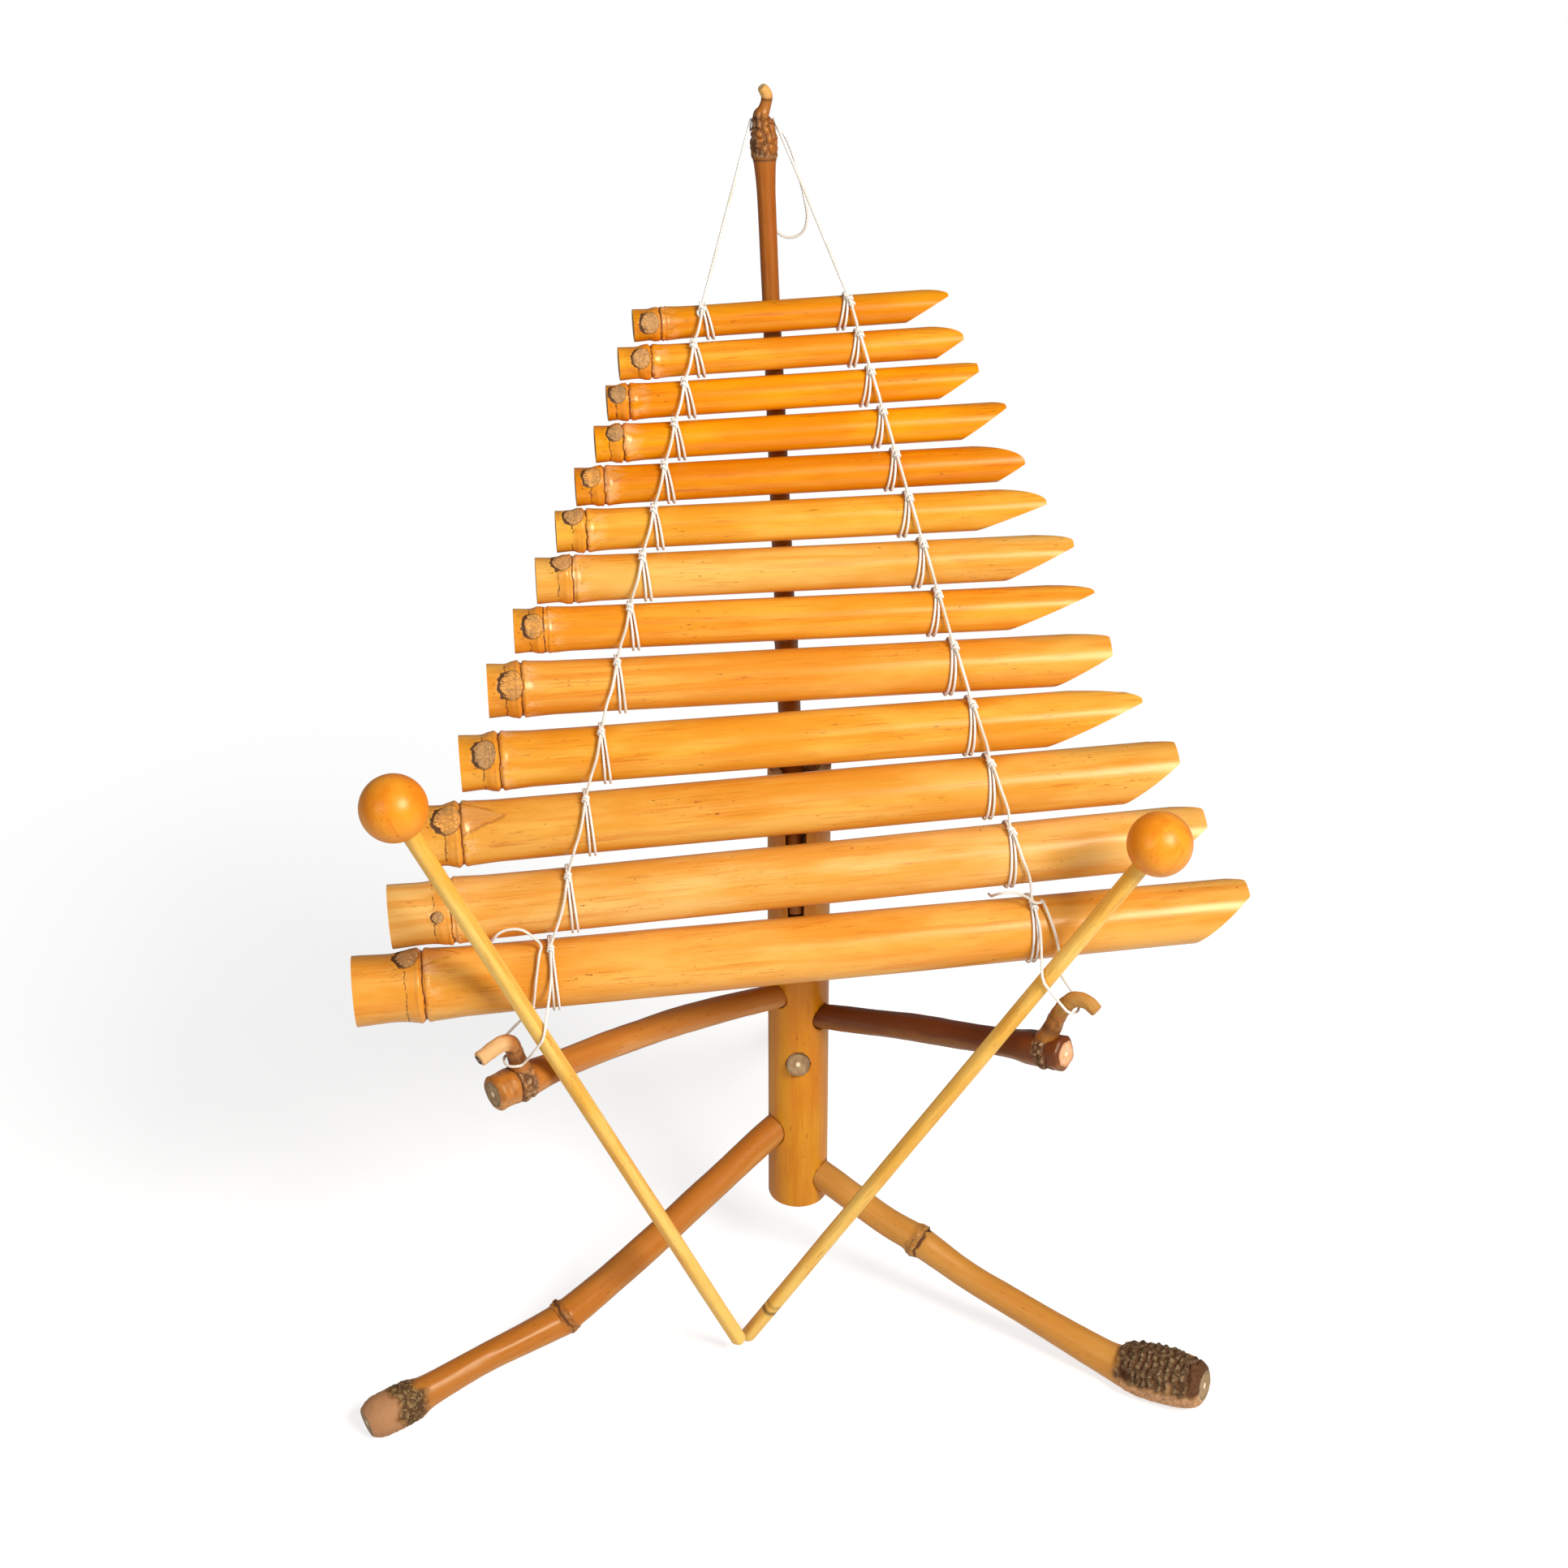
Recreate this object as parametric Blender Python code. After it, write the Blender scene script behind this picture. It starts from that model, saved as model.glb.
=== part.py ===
"""Bamboo xylophone: thirteen hollow keys hung as a ladder on one cord, in a stand of bamboo branches.

Metres, +Z up, the player at -Y. A short upright post carries everything. A mast leans back out of its
open top, two arms reach forward with hook twigs, and three legs stand on the floor. One cord runs up
the left side of the ladder, round the back of the mast and down the right side. Two mallets are
threaded through the loops that the cord makes round the hooks.
"""

import math
from collections import namedtuple

import bmesh
import bpy
from mathutils import Matrix, Vector

MM = 0.001

# Driving sizes: clearance and cord
GAP = 0.3 * MM
CORD_D = 1.1 * MM
SLING_D = 0.95 * MM
SLING_TURNS = 2
SLING_PITCH = 1.4 * MM
SLING_POINTS = 10
SLING_INSET = 2.0 * MM

# Driving sizes: the stand's origin and the post
STAND_X = 11.4 * MM
STAND_Y = -31.2 * MM
POST_D = 24.0 * MM
POST_WALL = 3.6 * MM
POST_FOOT_Z = 38.0 * MM
POST_TOP_Z = 240.0 * MM
SLOT_X = -2.5 * MM
SLOT_FOOT_Z = 165.0 * MM
SLOT_TOP_WIDTH = 9.4 * MM
SLOT_FOOT_WIDTH = 5.4 * MM

# Driving sizes: the mast, a branch whose whittled foot lies in the post's slot
MAST_D = 8.4 * MM
MAST_RIM_D = 7.6 * MM
MAST_TOP_D = 6.3 * MM
MAST_FOOT_W = 4.2 * MM
MAST_FOOT_Z = 180.0 * MM
MAST_LEAN = 0.2100
MAST_DRIFT = -0.0190
MAST_TIE_Z = 464.0 * MM
MAST_KNOB_D = 8.9 * MM

# Driving sizes: arms and legs, as plan angle from the front, pith height at the post, rise over reach,
# and how far they reach
LEFT_ARM_ANGLE = math.radians(-55.0)
RIGHT_ARM_ANGLE = math.radians(46.0)
LEFT_ARM_Z = 137.0 * MM
RIGHT_ARM_Z = 126.0 * MM
ARM_D = 9.8 * MM
ARM_NODE_D = 14.0 * MM
LEFT_ARM_REACH = 147.5 * MM
RIGHT_ARM_REACH = 122.0 * MM
LEFT_ARM_RISE = 0.270
RIGHT_ARM_RISE = 0.320
LEFT_ARM_BOW = 0.94
RIGHT_ARM_BOW = 0.47
LEFT_LEG_ANGLE = math.radians(-65.3)
RIGHT_LEG_ANGLE = math.radians(53.6)
REAR_LEG_ANGLE = math.radians(172.5)
LEFT_LEG_Z = 80.0 * MM
RIGHT_LEG_Z = 55.0 * MM
REAR_LEG_Z = 103.0 * MM
LEFT_LEG_RISE = -0.560
RIGHT_LEG_RISE = -0.430
LEG_D = 11.6 * MM
REAR_LEG_D = 9.2 * MM
REAR_LEG_REACH = 166.0 * MM
SOLE_CUT = 1.0 * MM

# Driving sizes: the ladder of keys, hung in a plane that leans back
LADDER_LEAN = math.radians(23.1)
LADDER_TOP = Vector((-8.0 * MM, 50.0 * MM, 464.0 * MM))
KEY_LENGTH = 111.0 * MM
KEY_LENGTH_RATIO = 1.0939
FIRST_KEY_DROP = 62.6 * MM
KEY_WALL = 0.20
LEFT_CORD_X = -6.0 * MM
LEFT_CORD_SPREAD = -0.300
RIGHT_CORD_X = 12.5 * MM
RIGHT_CORD_SPREAD = 0.262
KEY_COLUMN = 0.44

# Driving sizes: the mallets
BALL_D = 23.0 * MM
SHAFT_D = 6.2 * MM
SOCKET_DEPTH = 11.0 * MM
LEFT_TIP = Vector((-30.4 * MM, -54.0 * MM, 7.6 * MM))
LEFT_BALL = Vector((-146.4 * MM, -99.0 * MM, 289.0 * MM))
RIGHT_TIP = Vector((-26.8 * MM, -47.4 * MM, 3.2 * MM))
RIGHT_BALL = Vector((113.0 * MM, -96.0 * MM, 254.3 * MM))

# Each key as it was picked, in millimetres, degrees and shares: its diameter, the clear gap to the key
# above where the cords pass, how far its left end hangs low, how far it reaches left of the left cord,
# the stub left of its joint, a trim to its length, its taper, and the quill cut at its right end, as the
# two heights between which the tip is square, and the lengths of the cuts above and below them
Key = namedtuple("Key", "diameter gap tilt overhang stub trim taper tip_high tip_low top_cut low_cut")
KEYS = (
    Key(11.1, 0.0, 1.5, 22.9, 10.5, 0.0, 0.00, 0.56, 0.44, 9.0, 15.0),
    Key(11.3, 1.65, 1.35, 24.8, 11.0, 0.0, 0.00, 0.22, 0.02, 11.5, 9.5),
    Key(12.2, 1.65, 1.1, 25.6, 7.5, -1.5, 0.00, 0.88, 0.40, 8.5, 14.0),
    Key(12.7, 1.65, 0.8, 26.3, 9.5, 0.5, 0.00, 0.78, 0.62, 4.5, 16.0),
    Key(13.2, 1.65, 0.4, 29.5, 10.0, 0.0, 0.00, 0.02, -0.12, 17.5, 9.5),
    Key(14.4, 1.65, 0.0, 32.5, 10.0, 0.0, 0.00, 0.28, 0.14, 16.5, 24.5),
    Key(16.0, 1.80, -0.3, 35.3, 13.0, 1.0, 0.00, 0.70, 0.42, 13.0, 24.5),
    Key(15.5, 1.65, -0.5, 38.8, 11.0, -1.0, 0.00, 0.68, 0.58, 15.5, 31.0),
    Key(18.8, 2.60, -0.2, 43.2, 11.5, -5.0, 0.00, 0.84, 0.14, 14.0, 20.0),
    Key(19.8, 2.50, 0.9, 47.5, 13.5, -4.5, 0.00, 0.58, 0.46, 25.0, 35.0),
    Key(22.0, 1.65, 1.6, 55.7, 13.5, 0.0, 0.00, 0.94, 0.30, 10.0, 20.0),
    Key(22.6, 3.10, 2.1, 60.9, 22.0, -3.0, 0.01, 0.88, 0.36, 9.5, 20.0),
    Key(24.8, 2.50, 1.5, 66.9, 24.0, -1.5, 0.09, 0.94, 0.52, 5.0, 20.0),
)

BAMBOO_GOLD = (0.72, 0.36, 0.08)
BAMBOO_PALE = (0.78, 0.46, 0.15)
BAMBOO_BROWN = (0.36, 0.15, 0.04)
BALL_WOOD = (0.55, 0.20, 0.03)
COTTON = (0.86, 0.83, 0.76)


# Scene and materials
def clear_scene():
    for item in list(bpy.data.objects):
        bpy.data.objects.remove(item, do_unlink=True)


def material(name, colour, roughness):
    made = bpy.data.materials.new(name)
    made.use_nodes = True
    shader = made.node_tree.nodes["Principled BSDF"]
    shader.inputs["Base Color"].default_value = (*colour, 1.0)
    shader.inputs["Roughness"].default_value = roughness
    shader.inputs["Metallic"].default_value = 0.0
    return made


def empty(name, parent=None, matrix=None):
    made = bpy.data.objects.new(name, None)
    made.empty_display_size = 0.02
    bpy.context.collection.objects.link(made)
    made.parent = parent
    if matrix is not None:
        made.matrix_local = matrix
    return made


# Mesh building blocks
def add_mesh(name, bm, parent, finish, smooth=True):
    """Turn a bmesh into a named object with outward faces and its own material."""
    bmesh.ops.recalc_face_normals(bm, faces=bm.faces)
    mesh = bpy.data.meshes.new(name)
    bm.to_mesh(mesh)
    bm.free()
    if smooth:
        mesh.shade_smooth()
        mesh.set_sharp_from_angle(angle=math.radians(38.0))
    made = bpy.data.objects.new(name, mesh)
    bpy.context.collection.objects.link(made)
    made.parent = parent
    if finish is not None:
        mesh.materials.append(finish)
    return made


def loft(rings):
    """Skin a list of rings of equal count, and close the first and the last with a face."""
    bm = bmesh.new()
    loops = [[bm.verts.new(point) for point in ring] for ring in rings]
    count = len(loops[0])
    for near, far in zip(loops, loops[1:]):
        for i in range(count):
            j = (i + 1) % count
            bm.faces.new((near[i], near[j], far[j], far[i]))
    bm.faces.new(loops[0])
    bm.faces.new(loops[-1])
    return bm


def smooth_path(points, steps):
    """Points on a Catmull-Rom curve through the given (position, radius) pairs."""
    rows = [Vector((*place, radius)) for place, radius in points]
    rows = [rows[0] * 2.0 - rows[1]] + rows + [rows[-1] * 2.0 - rows[-2]]
    out = []
    for a, b, c, d in zip(rows, rows[1:], rows[2:], rows[3:]):
        for k in range(steps):
            t = k / steps
            out.append(0.5 * (2.0 * b + (c - a) * t + (2.0 * a - 5.0 * b + 4.0 * c - d) * t * t
                              + (3.0 * b - a - 3.0 * c + d) * t ** 3))
    out.append(rows[-2])
    return [(Vector(row[:3]), row[3]) for row in out]


def limb_rings(path, sides, flatten=None):
    """Rings square to a path of (position, radius), turned as little as possible along it."""
    places = [place for place, _ in path]
    first = (places[1] - places[0]).normalized()
    side = first.cross(Vector((0.0, 0.0, 1.0)))
    if side.length < 0.2:
        side = first.cross(Vector((0.0, 1.0, 0.0)))
    rings = []
    for i, (place, radius) in enumerate(path):
        ahead = places[min(i + 1, len(places) - 1)]
        behind = places[max(i - 1, 0)]
        along = (ahead - behind).normalized()
        side = (side - along * side.dot(along)).normalized()
        rise = side.cross(along)
        squash = flatten[i] if flatten else 1.0
        ring = []
        for k in range(sides):
            turn = 2.0 * math.pi * k / sides
            ring.append(place + side * (radius * squash * math.cos(turn)) + rise * (radius * math.sin(turn)))
        rings.append(ring)
    return rings


def limb(name, path, sides, parent, finish, flatten=None):
    return add_mesh(name, loft(limb_rings(path, sides, flatten)), parent, finish)


def turned(name, profile, sides, parent, finish):
    """A solid of revolution about Z from (radius, z) pairs whose first and last radius is zero."""
    bm = bmesh.new()
    rings = [[Vector((r * math.cos(a), r * math.sin(a), z))
              for a in (2.0 * math.pi * k / sides for k in range(sides))] for r, z in profile[1:-1]]
    loops = [[bm.verts.new(point) for point in ring] for ring in rings]
    for near, far in zip(loops, loops[1:]):
        for i in range(sides):
            j = (i + 1) % sides
            bm.faces.new((near[i], near[j], far[j], far[i]))
    for loop, (_, z) in ((loops[0], profile[0]), (loops[-1], profile[-1])):
        pole = bm.verts.new((0.0, 0.0, z))
        for i in range(sides):
            bm.faces.new((loop[i], loop[(i + 1) % sides], pole))
    return add_mesh(name, bm, parent, finish)


def cut_below(target, height):
    """Cut a limb flat at a height in its parent's frame, as a foot is sawn to stand."""
    mesh = target.data
    bm = bmesh.new()
    bm.from_mesh(mesh)
    everything = bm.verts[:] + bm.edges[:] + bm.faces[:]
    cut = bmesh.ops.bisect_plane(bm, geom=everything, dist=1e-7, plane_co=(0.0, 0.0, height),
                                 plane_no=(0.0, 0.0, 1.0), clear_inner=True)
    rim = [item for item in cut["geom_cut"] if isinstance(item, bmesh.types.BMEdge)]
    bmesh.ops.contextual_create(bm, geom=rim)
    bmesh.ops.recalc_face_normals(bm, faces=bm.faces)
    bm.to_mesh(mesh)
    bm.free()


def boolean(target, tool, operation):
    """Join or cut with a tool that the build leaves out."""
    tool.hide_render = True
    tool.display_type = "WIRE"
    change = target.modifiers.new(tool.name, "BOOLEAN")
    change.operation = operation
    change.solver = "EXACT"
    change.object = tool


def cord(name, points, diameter, parent, finish):
    """A cord as a tube on a polyline, with closed ends."""
    curve = bpy.data.curves.new(name, "CURVE")
    curve.dimensions = "3D"
    curve.bevel_depth = diameter / 2.0
    curve.bevel_resolution = 1
    curve.use_fill_caps = True
    spline = curve.splines.new("POLY")
    spline.points.add(len(points) - 1)
    for slot, point in zip(spline.points, points):
        slot.co = (*point, 1.0)
    curve.materials.append(finish)
    made = bpy.data.objects.new(name, curve)
    bpy.context.collection.objects.link(made)
    made.parent = parent
    return made


def least_gap(points, diameter):
    """The least clear distance of a tube to itself, past the part of it that only bends."""
    places = []
    for near, far in zip(points, points[1:]):
        steps = max(1, int((far - near).length / (0.5 * diameter)))
        places.extend(near.lerp(far, k / steps) for k in range(steps))
    reach = [0.0]
    for near, far in zip(places, places[1:]):
        reach.append(reach[-1] + (far - near).length)
    least = 1.0
    for i, near in enumerate(places):
        for j in range(i + 1, len(places)):
            if reach[j] - reach[i] > 4.0 * diameter:
                least = min(least, (places[j] - near).length - diameter)
    return least


# The stand
def radial(angle, reach, height):
    """A point at a plan angle from the front, in the vertical plane through the post's pith."""
    return Vector((math.sin(angle) * reach, -math.cos(angle) * reach, height))


def drill(target, name, start, end, diameter, parent):
    """A straight hole with a little room round what goes into it."""
    path = [(start, diameter / 2.0 + GAP), (end, diameter / 2.0 + GAP)]
    tool = limb(name, path, 20, parent, None)
    boolean(target, tool, "DIFFERENCE")


def make_post(stand, finish):
    """A length of culm, open at both ends, with a hole for each peg and a slot for the mast's foot."""
    outer = POST_D / 2.0
    inner = outer - POST_WALL
    sides = 32
    circle = [(math.cos(2.0 * math.pi * k / sides), math.sin(2.0 * math.pi * k / sides)) for k in range(sides)]
    bm = bmesh.new()
    rings = []
    levels = [POST_FOOT_Z + (POST_TOP_Z - POST_FOOT_Z) * share for share in (0.0, 0.14, 0.30, 0.42, 0.62, 1.0)]
    for radius, z in [(outer, z) for z in levels] + [(inner, z) for z in (levels[-1], levels[0])]:
        rings.append([bm.verts.new((radius * x, radius * y, z)) for x, y in circle])
    for near, far in zip(rings, rings[1:] + rings[:1]):
        for i in range(sides):
            j = (i + 1) % sides
            bm.faces.new((near[i], near[j], far[j], far[i]))
    post = add_mesh("post", bm, stand, finish)
    for name, angle, z, rise, size in (
            ("left_arm_hole", LEFT_ARM_ANGLE, LEFT_ARM_Z, LEFT_ARM_RISE, ARM_D),
            ("right_arm_hole", RIGHT_ARM_ANGLE, RIGHT_ARM_Z, RIGHT_ARM_RISE, ARM_D),
            ("left_leg_hole", LEFT_LEG_ANGLE, LEFT_LEG_Z, LEFT_LEG_RISE, LEG_D),
            ("right_leg_hole", RIGHT_LEG_ANGLE, RIGHT_LEG_Z, RIGHT_LEG_RISE, LEG_D)):
        drill(post, name, radial(angle, 0.0, z), radial(angle, 2.0 * outer, z + rise * 2.0 * outer), size, stand)
    rise = rear_leg_rise()
    drill(post, "rear_leg_hole", radial(REAR_LEG_ANGLE, -2.0 * outer, REAR_LEG_Z - rise * 2.0 * outer),
          radial(REAR_LEG_ANGLE, 2.0 * outer, REAR_LEG_Z + rise * 2.0 * outer), REAR_LEG_D, stand)
    boolean(post, make_slot(stand, outer), "DIFFERENCE")
    return post


def make_slot(stand, outer):
    """The wedge-shaped slot in the post's front wall, from its rim down."""
    rows = ((SLOT_FOOT_Z, SLOT_FOOT_WIDTH), (POST_TOP_Z + 4.0 * MM, SLOT_TOP_WIDTH))
    rings = []
    for z, width in rows:
        left = SLOT_X - width / 2.0
        right = SLOT_X + width / 2.0
        rings.append([Vector((left, -1.5 * outer, z)), Vector((right, -1.5 * outer, z)),
                      Vector((right, -0.35 * outer, z)), Vector((left, -0.35 * outer, z))])
    return add_mesh("slot_cutter", loft(rings), stand, None, smooth=False)


def mast_point(z):
    """The mast's pith: it leans back, and a little to the left."""
    inner = POST_D / 2.0 - POST_WALL
    rise = z - POST_TOP_Z
    room = inner - MAST_RIM_D / 2.0 - 2.0 * GAP
    y_rim = math.sqrt(room ** 2 - SLOT_X ** 2)
    return Vector((SLOT_X + MAST_DRIFT * max(0.0, rise), y_rim + MAST_LEAN * rise, z))


def make_mast(stand, finish):
    """A knobbly branch: a whittled foot, two joints, a swollen knob and a crooked twig on top."""
    rim_z = POST_TOP_Z - 4.0 * MM
    path = [(mast_point(MAST_FOOT_Z), MAST_FOOT_W / 2.0 + 0.2 * MM), (mast_point(rim_z), MAST_RIM_D / 2.0)]
    flat = [0.86, 1.0]
    for z, size in ((258.0, 1.00), (283.0, 1.03), (286.5, 1.10), (290.0, 0.93), (340.0, 0.86)):
        path.append((mast_point(z * MM), MAST_D / 2.0 * size))
        flat.append(1.0)
    for below, size in ((58.0, 1.0), (22.0, 1.02), (6.4, 1.10), (4.6, 1.36), (2.6, 1.22)):
        path.append((mast_point(MAST_TIE_Z - below * MM), MAST_TOP_D / 2.0 * size))
        flat.append(1.0)
    for above, size in ((-0.8, 0.95), (1.4, 0.98), (4.0, 0.97), (6.4, 0.62)):
        path.append((mast_point(MAST_TIE_Z + above * MM), MAST_KNOB_D / 2.0 * size))
        flat.append(1.0)
    knob = mast_point(MAST_TIE_Z + 6.4 * MM)
    twig = ((0.8, 0.4, 2.6, 2.0), (1.3, 0.6, 5.2, 1.9), (1.0, 0.6, 7.4, 2.0), (-0.5, 0.2, 9.6, 1.9))
    for dx, dy, dz, radius in twig:
        path.append((knob + Vector((dx, dy, dz)) * MM, radius * MM))
        flat.append(1.0)
    return limb("mast", path, 14, stand, finish, flat)


def node_bulge(path, index, length, swell):
    """Swap one point of a limb's path for the three rings of a bamboo joint."""
    place, radius = path[index]
    along = (path[index + 1][0] - path[index - 1][0]).normalized()
    ridge = [(place - along * length / 2.0, radius * 1.03), (place - along * length / 8.0, radius * swell),
             (place + along * length / 8.0, radius * swell * 0.985), (place + along * length / 2.0, radius * 1.04)]
    return path[:index] + ridge + path[index + 1:]


def arm_shape(side):
    """Angle, pith height at the post, rise, bow and reach of the left (-1) or right (+1) arm."""
    if side < 0:
        return LEFT_ARM_ANGLE, LEFT_ARM_Z, LEFT_ARM_RISE, LEFT_ARM_BOW, LEFT_ARM_REACH
    return RIGHT_ARM_ANGLE, RIGHT_ARM_Z, RIGHT_ARM_RISE, RIGHT_ARM_BOW, RIGHT_ARM_REACH


def arm_point(side, reach):
    """A point of an arm's pith: straight in the post, then bowed down a little."""
    angle, base_z, rise, bow, _ = arm_shape(side)
    free = max(0.0, reach - POST_D / 2.0 - 2.0 * MM)
    return radial(angle, reach, base_z + rise * reach - bow * free ** 2)


def hook_path(side):
    """The hook twig: a stem up from the arm's joint, then a finger that points outwards."""
    angle = arm_shape(side)[0]
    root_reach = arm_shape(side)[4] - 15.0 * MM
    root = arm_point(side, root_reach)
    if side < 0:
        steps = ((0.0, 0.0, 3.8), (3.2, 8.6, 3.4), (4.6, 14.8, 3.1), (6.6, 18.9, 3.1), (11.2, 20.2, 2.9),
                 (20.0, 18.0, 2.7))
    else:
        steps = ((0.0, 0.0, 4.0), (5.4, 9.5, 3.6), (10.2, 17.6, 3.2), (13.4, 24.4, 3.0), (17.2, 28.6, 2.9),
                 (22.2, 29.4, 2.7), (26.6, 27.2, 2.5))
    return [(radial(angle, root_reach + out * MM, root.z + up * MM), size * MM) for out, up, size in steps]


def hook_seat(side):
    """Where the cord sits on the hook's stem: its centre, the stem's radius there, and its direction."""
    path = hook_path(side)
    low, high = path[-4], path[-3]
    if side < 0:
        low, high = path[1], path[2]
    along = (high[0] - low[0]).normalized()
    return low[0].lerp(high[0], 0.45), max(low[1], high[1]), along


def make_arm(side, stand, finish):
    """A straight peg with a joint near its end, and the hook twig that grows from that joint."""
    reach = arm_shape(side)[4]
    name = "left_arm" if side < 0 else "right_arm"
    half = ARM_D / 2.0
    stops = ((1.5 * MM, half * 0.94), (POST_D / 2.0 + 2.0 * MM, half), (0.45 * reach, half * 1.08),
             (0.78 * reach, half * 1.08), (reach - 15.0 * MM, ARM_NODE_D / 2.0 * 0.92),
             (reach - 4.0 * MM, ARM_NODE_D / 2.0 * 0.93), (reach, ARM_NODE_D / 2.0 * 0.90))
    path = [(arm_point(side, stop), radius) for stop, radius in stops]
    arm = limb(name, node_bulge(path, 4, 9.0 * MM, 1.10), 14, stand, finish)
    twig = limb(name + "_twig", hook_path(side), 10, stand, finish)
    boolean(arm, twig, "UNION")
    return arm


def rear_leg_rise():
    """The rear leg runs straight from its hole to a sole that stands on the floor."""
    sole = REAR_LEG_D / 2.0 * 1.25 - SOLE_CUT
    return (sole - REAR_LEG_Z) / REAR_LEG_REACH


def leg_path(angle, base_z, rise, stops):
    """A leg's straight peg in the post, then its stops as (reach, pith height, radius)."""
    peg = -3.0 * MM
    collar = POST_D / 2.0 + 3.0 * MM
    path = [(radial(angle, peg, base_z + rise * peg), LEG_D / 2.0 * 0.92),
            (radial(angle, collar, base_z + rise * collar), LEG_D / 2.0)]
    return path + [(radial(angle, reach * MM, z * MM), radius * MM) for reach, z, radius in stops]


def make_left_leg(stand, finish):
    """A branch with a kinked joint half way and a thick root end, cut square."""
    stops = ((45.0, 54.0, 5.9), (78.0, 35.0, 6.0), (110.0, 19.6, 6.3), (144.0, 15.0, 5.7),
             (168.0, 10.6, 6.3), (176.0, 9.0, 7.8), (187.0, 7.5, 8.1), (195.5, 6.3, 7.4))
    path = leg_path(LEFT_LEG_ANGLE, LEFT_LEG_Z, LEFT_LEG_RISE, stops)
    leg = limb("left_leg", node_bulge(path, 4, 8.0 * MM, 1.16), 14, stand, finish)
    cut_below(leg, 0.0)
    return leg


def make_right_leg(stand, finish):
    """A curved branch with a joint near the post and a knobbly root."""
    stops = ((38.4, 38.6, 5.7), (56.0, 33.6, 5.9), (77.4, 25.2, 5.6), (96.0, 20.0, 5.7), (114.0, 15.2, 5.9),
             (132.0, 10.4, 6.5), (144.0, 8.0, 7.4), (151.0, 9.0, 10.0), (162.0, 10.4, 11.1), (173.0, 11.4, 10.4),
             (181.0, 12.6, 8.2))
    path = leg_path(RIGHT_LEG_ANGLE, RIGHT_LEG_Z, RIGHT_LEG_RISE, stops)
    leg = limb("right_leg", node_bulge(path, 3, 8.0 * MM, 1.15), 14, stand, finish)
    cut_below(leg, 0.0)
    return leg


def make_rear_leg(stand, finish):
    """A thinner branch through both walls of the post, its front end flush with the post's face."""
    rise = rear_leg_rise()
    half = REAR_LEG_D / 2.0
    stops = ((-POST_D / 2.0 - 0.4 * MM, 1.0), (POST_D / 2.0 + 4.0 * MM, 1.0), (58.0 * MM, 1.02), (88.0 * MM, 1.06),
             (120.0 * MM, 1.03), (REAR_LEG_REACH - 12.0 * MM, 1.10), (REAR_LEG_REACH, 1.25),
             (REAR_LEG_REACH + 9.0 * MM, 1.22))
    path = [(radial(REAR_LEG_ANGLE, reach, REAR_LEG_Z + rise * reach), half * size) for reach, size in stops]
    leg = limb("rear_leg", node_bulge(path, 3, 7.0 * MM, 1.18), 12, stand, finish)
    cut_below(leg, 0.0)
    return leg


# The ladder of keys
def key_length(index):
    return KEY_LENGTH * KEY_LENGTH_RATIO ** index + KEYS[index].trim * MM


def key_drop(index):
    """How far below the ladder's top a key's axis hangs, measured down the ladder."""
    drop = FIRST_KEY_DROP
    for upper, lower in zip(KEYS[:index], KEYS[1:index + 1]):
        turn = math.radians(lower.tilt - upper.tilt)
        side = 1 if turn > 0.0 else -1
        closing = abs(cord_x(side, drop) * math.sin(turn))
        drop += (upper.diameter + lower.diameter) / 2.0 * MM + lower.gap * MM + closing
    return drop


def cord_x(side, drop):
    """Where a side's cord runs, in the ladder's frame."""
    if side < 0:
        return LEFT_CORD_X + LEFT_CORD_SPREAD * drop
    return RIGHT_CORD_X + RIGHT_CORD_SPREAD * drop


def key_matrix(index):
    """A key's frame in the ladder's: X along the key, Y up the ladder, Z out of it."""
    drop = key_drop(index)
    tilt = math.radians(KEYS[index].tilt)
    return Matrix.Translation((0.0, -drop, 0.0)) @ Matrix.Rotation(tilt, 4, "Z")


def key_left(index):
    """A key's left end along its own axis."""
    return cord_x(-1, key_drop(index)) - KEYS[index].overhang * MM


def key_radius(index, share):
    """A key's radius at a share of its length, with its taper."""
    key = KEYS[index]
    return key.diameter / 2.0 * MM * (1.0 - key.taper * max(0.0, share - 0.2) / 0.8)


def tip_setback(key, high, deep):
    """How far the quill cut lies behind the tip at a height and a depth, both as shares of the radius."""
    if high > key.tip_high:
        t = min(1.0, (high - key.tip_high) / (1.0 - key.tip_high))
        back = key.top_cut * (1.0 - math.sqrt(1.0 - 0.96 * t * t)) / 0.8
    elif high < key.tip_low:
        back = key.low_cut * (key.tip_low - high) / (key.tip_low + 1.0)
    else:
        back = 0.0
    return (back + max(0.0, -deep) * 1.25 * key.low_cut) * MM


def key_turns(key):
    """Angles round a key from its foot, over its front and top, with one on each corner of its tip."""
    quarter = math.pi / 2.0
    stops = (-quarter, math.asin(key.tip_low), math.asin(key.tip_high), quarter, 3.0 * quarter)
    turns = []
    for start, end in zip(stops, stops[1:]):
        count = max(1, math.ceil((end - start) / KEY_COLUMN))
        turns += [start + (end - start) * k / count for k in range(count)]
    return turns


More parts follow.
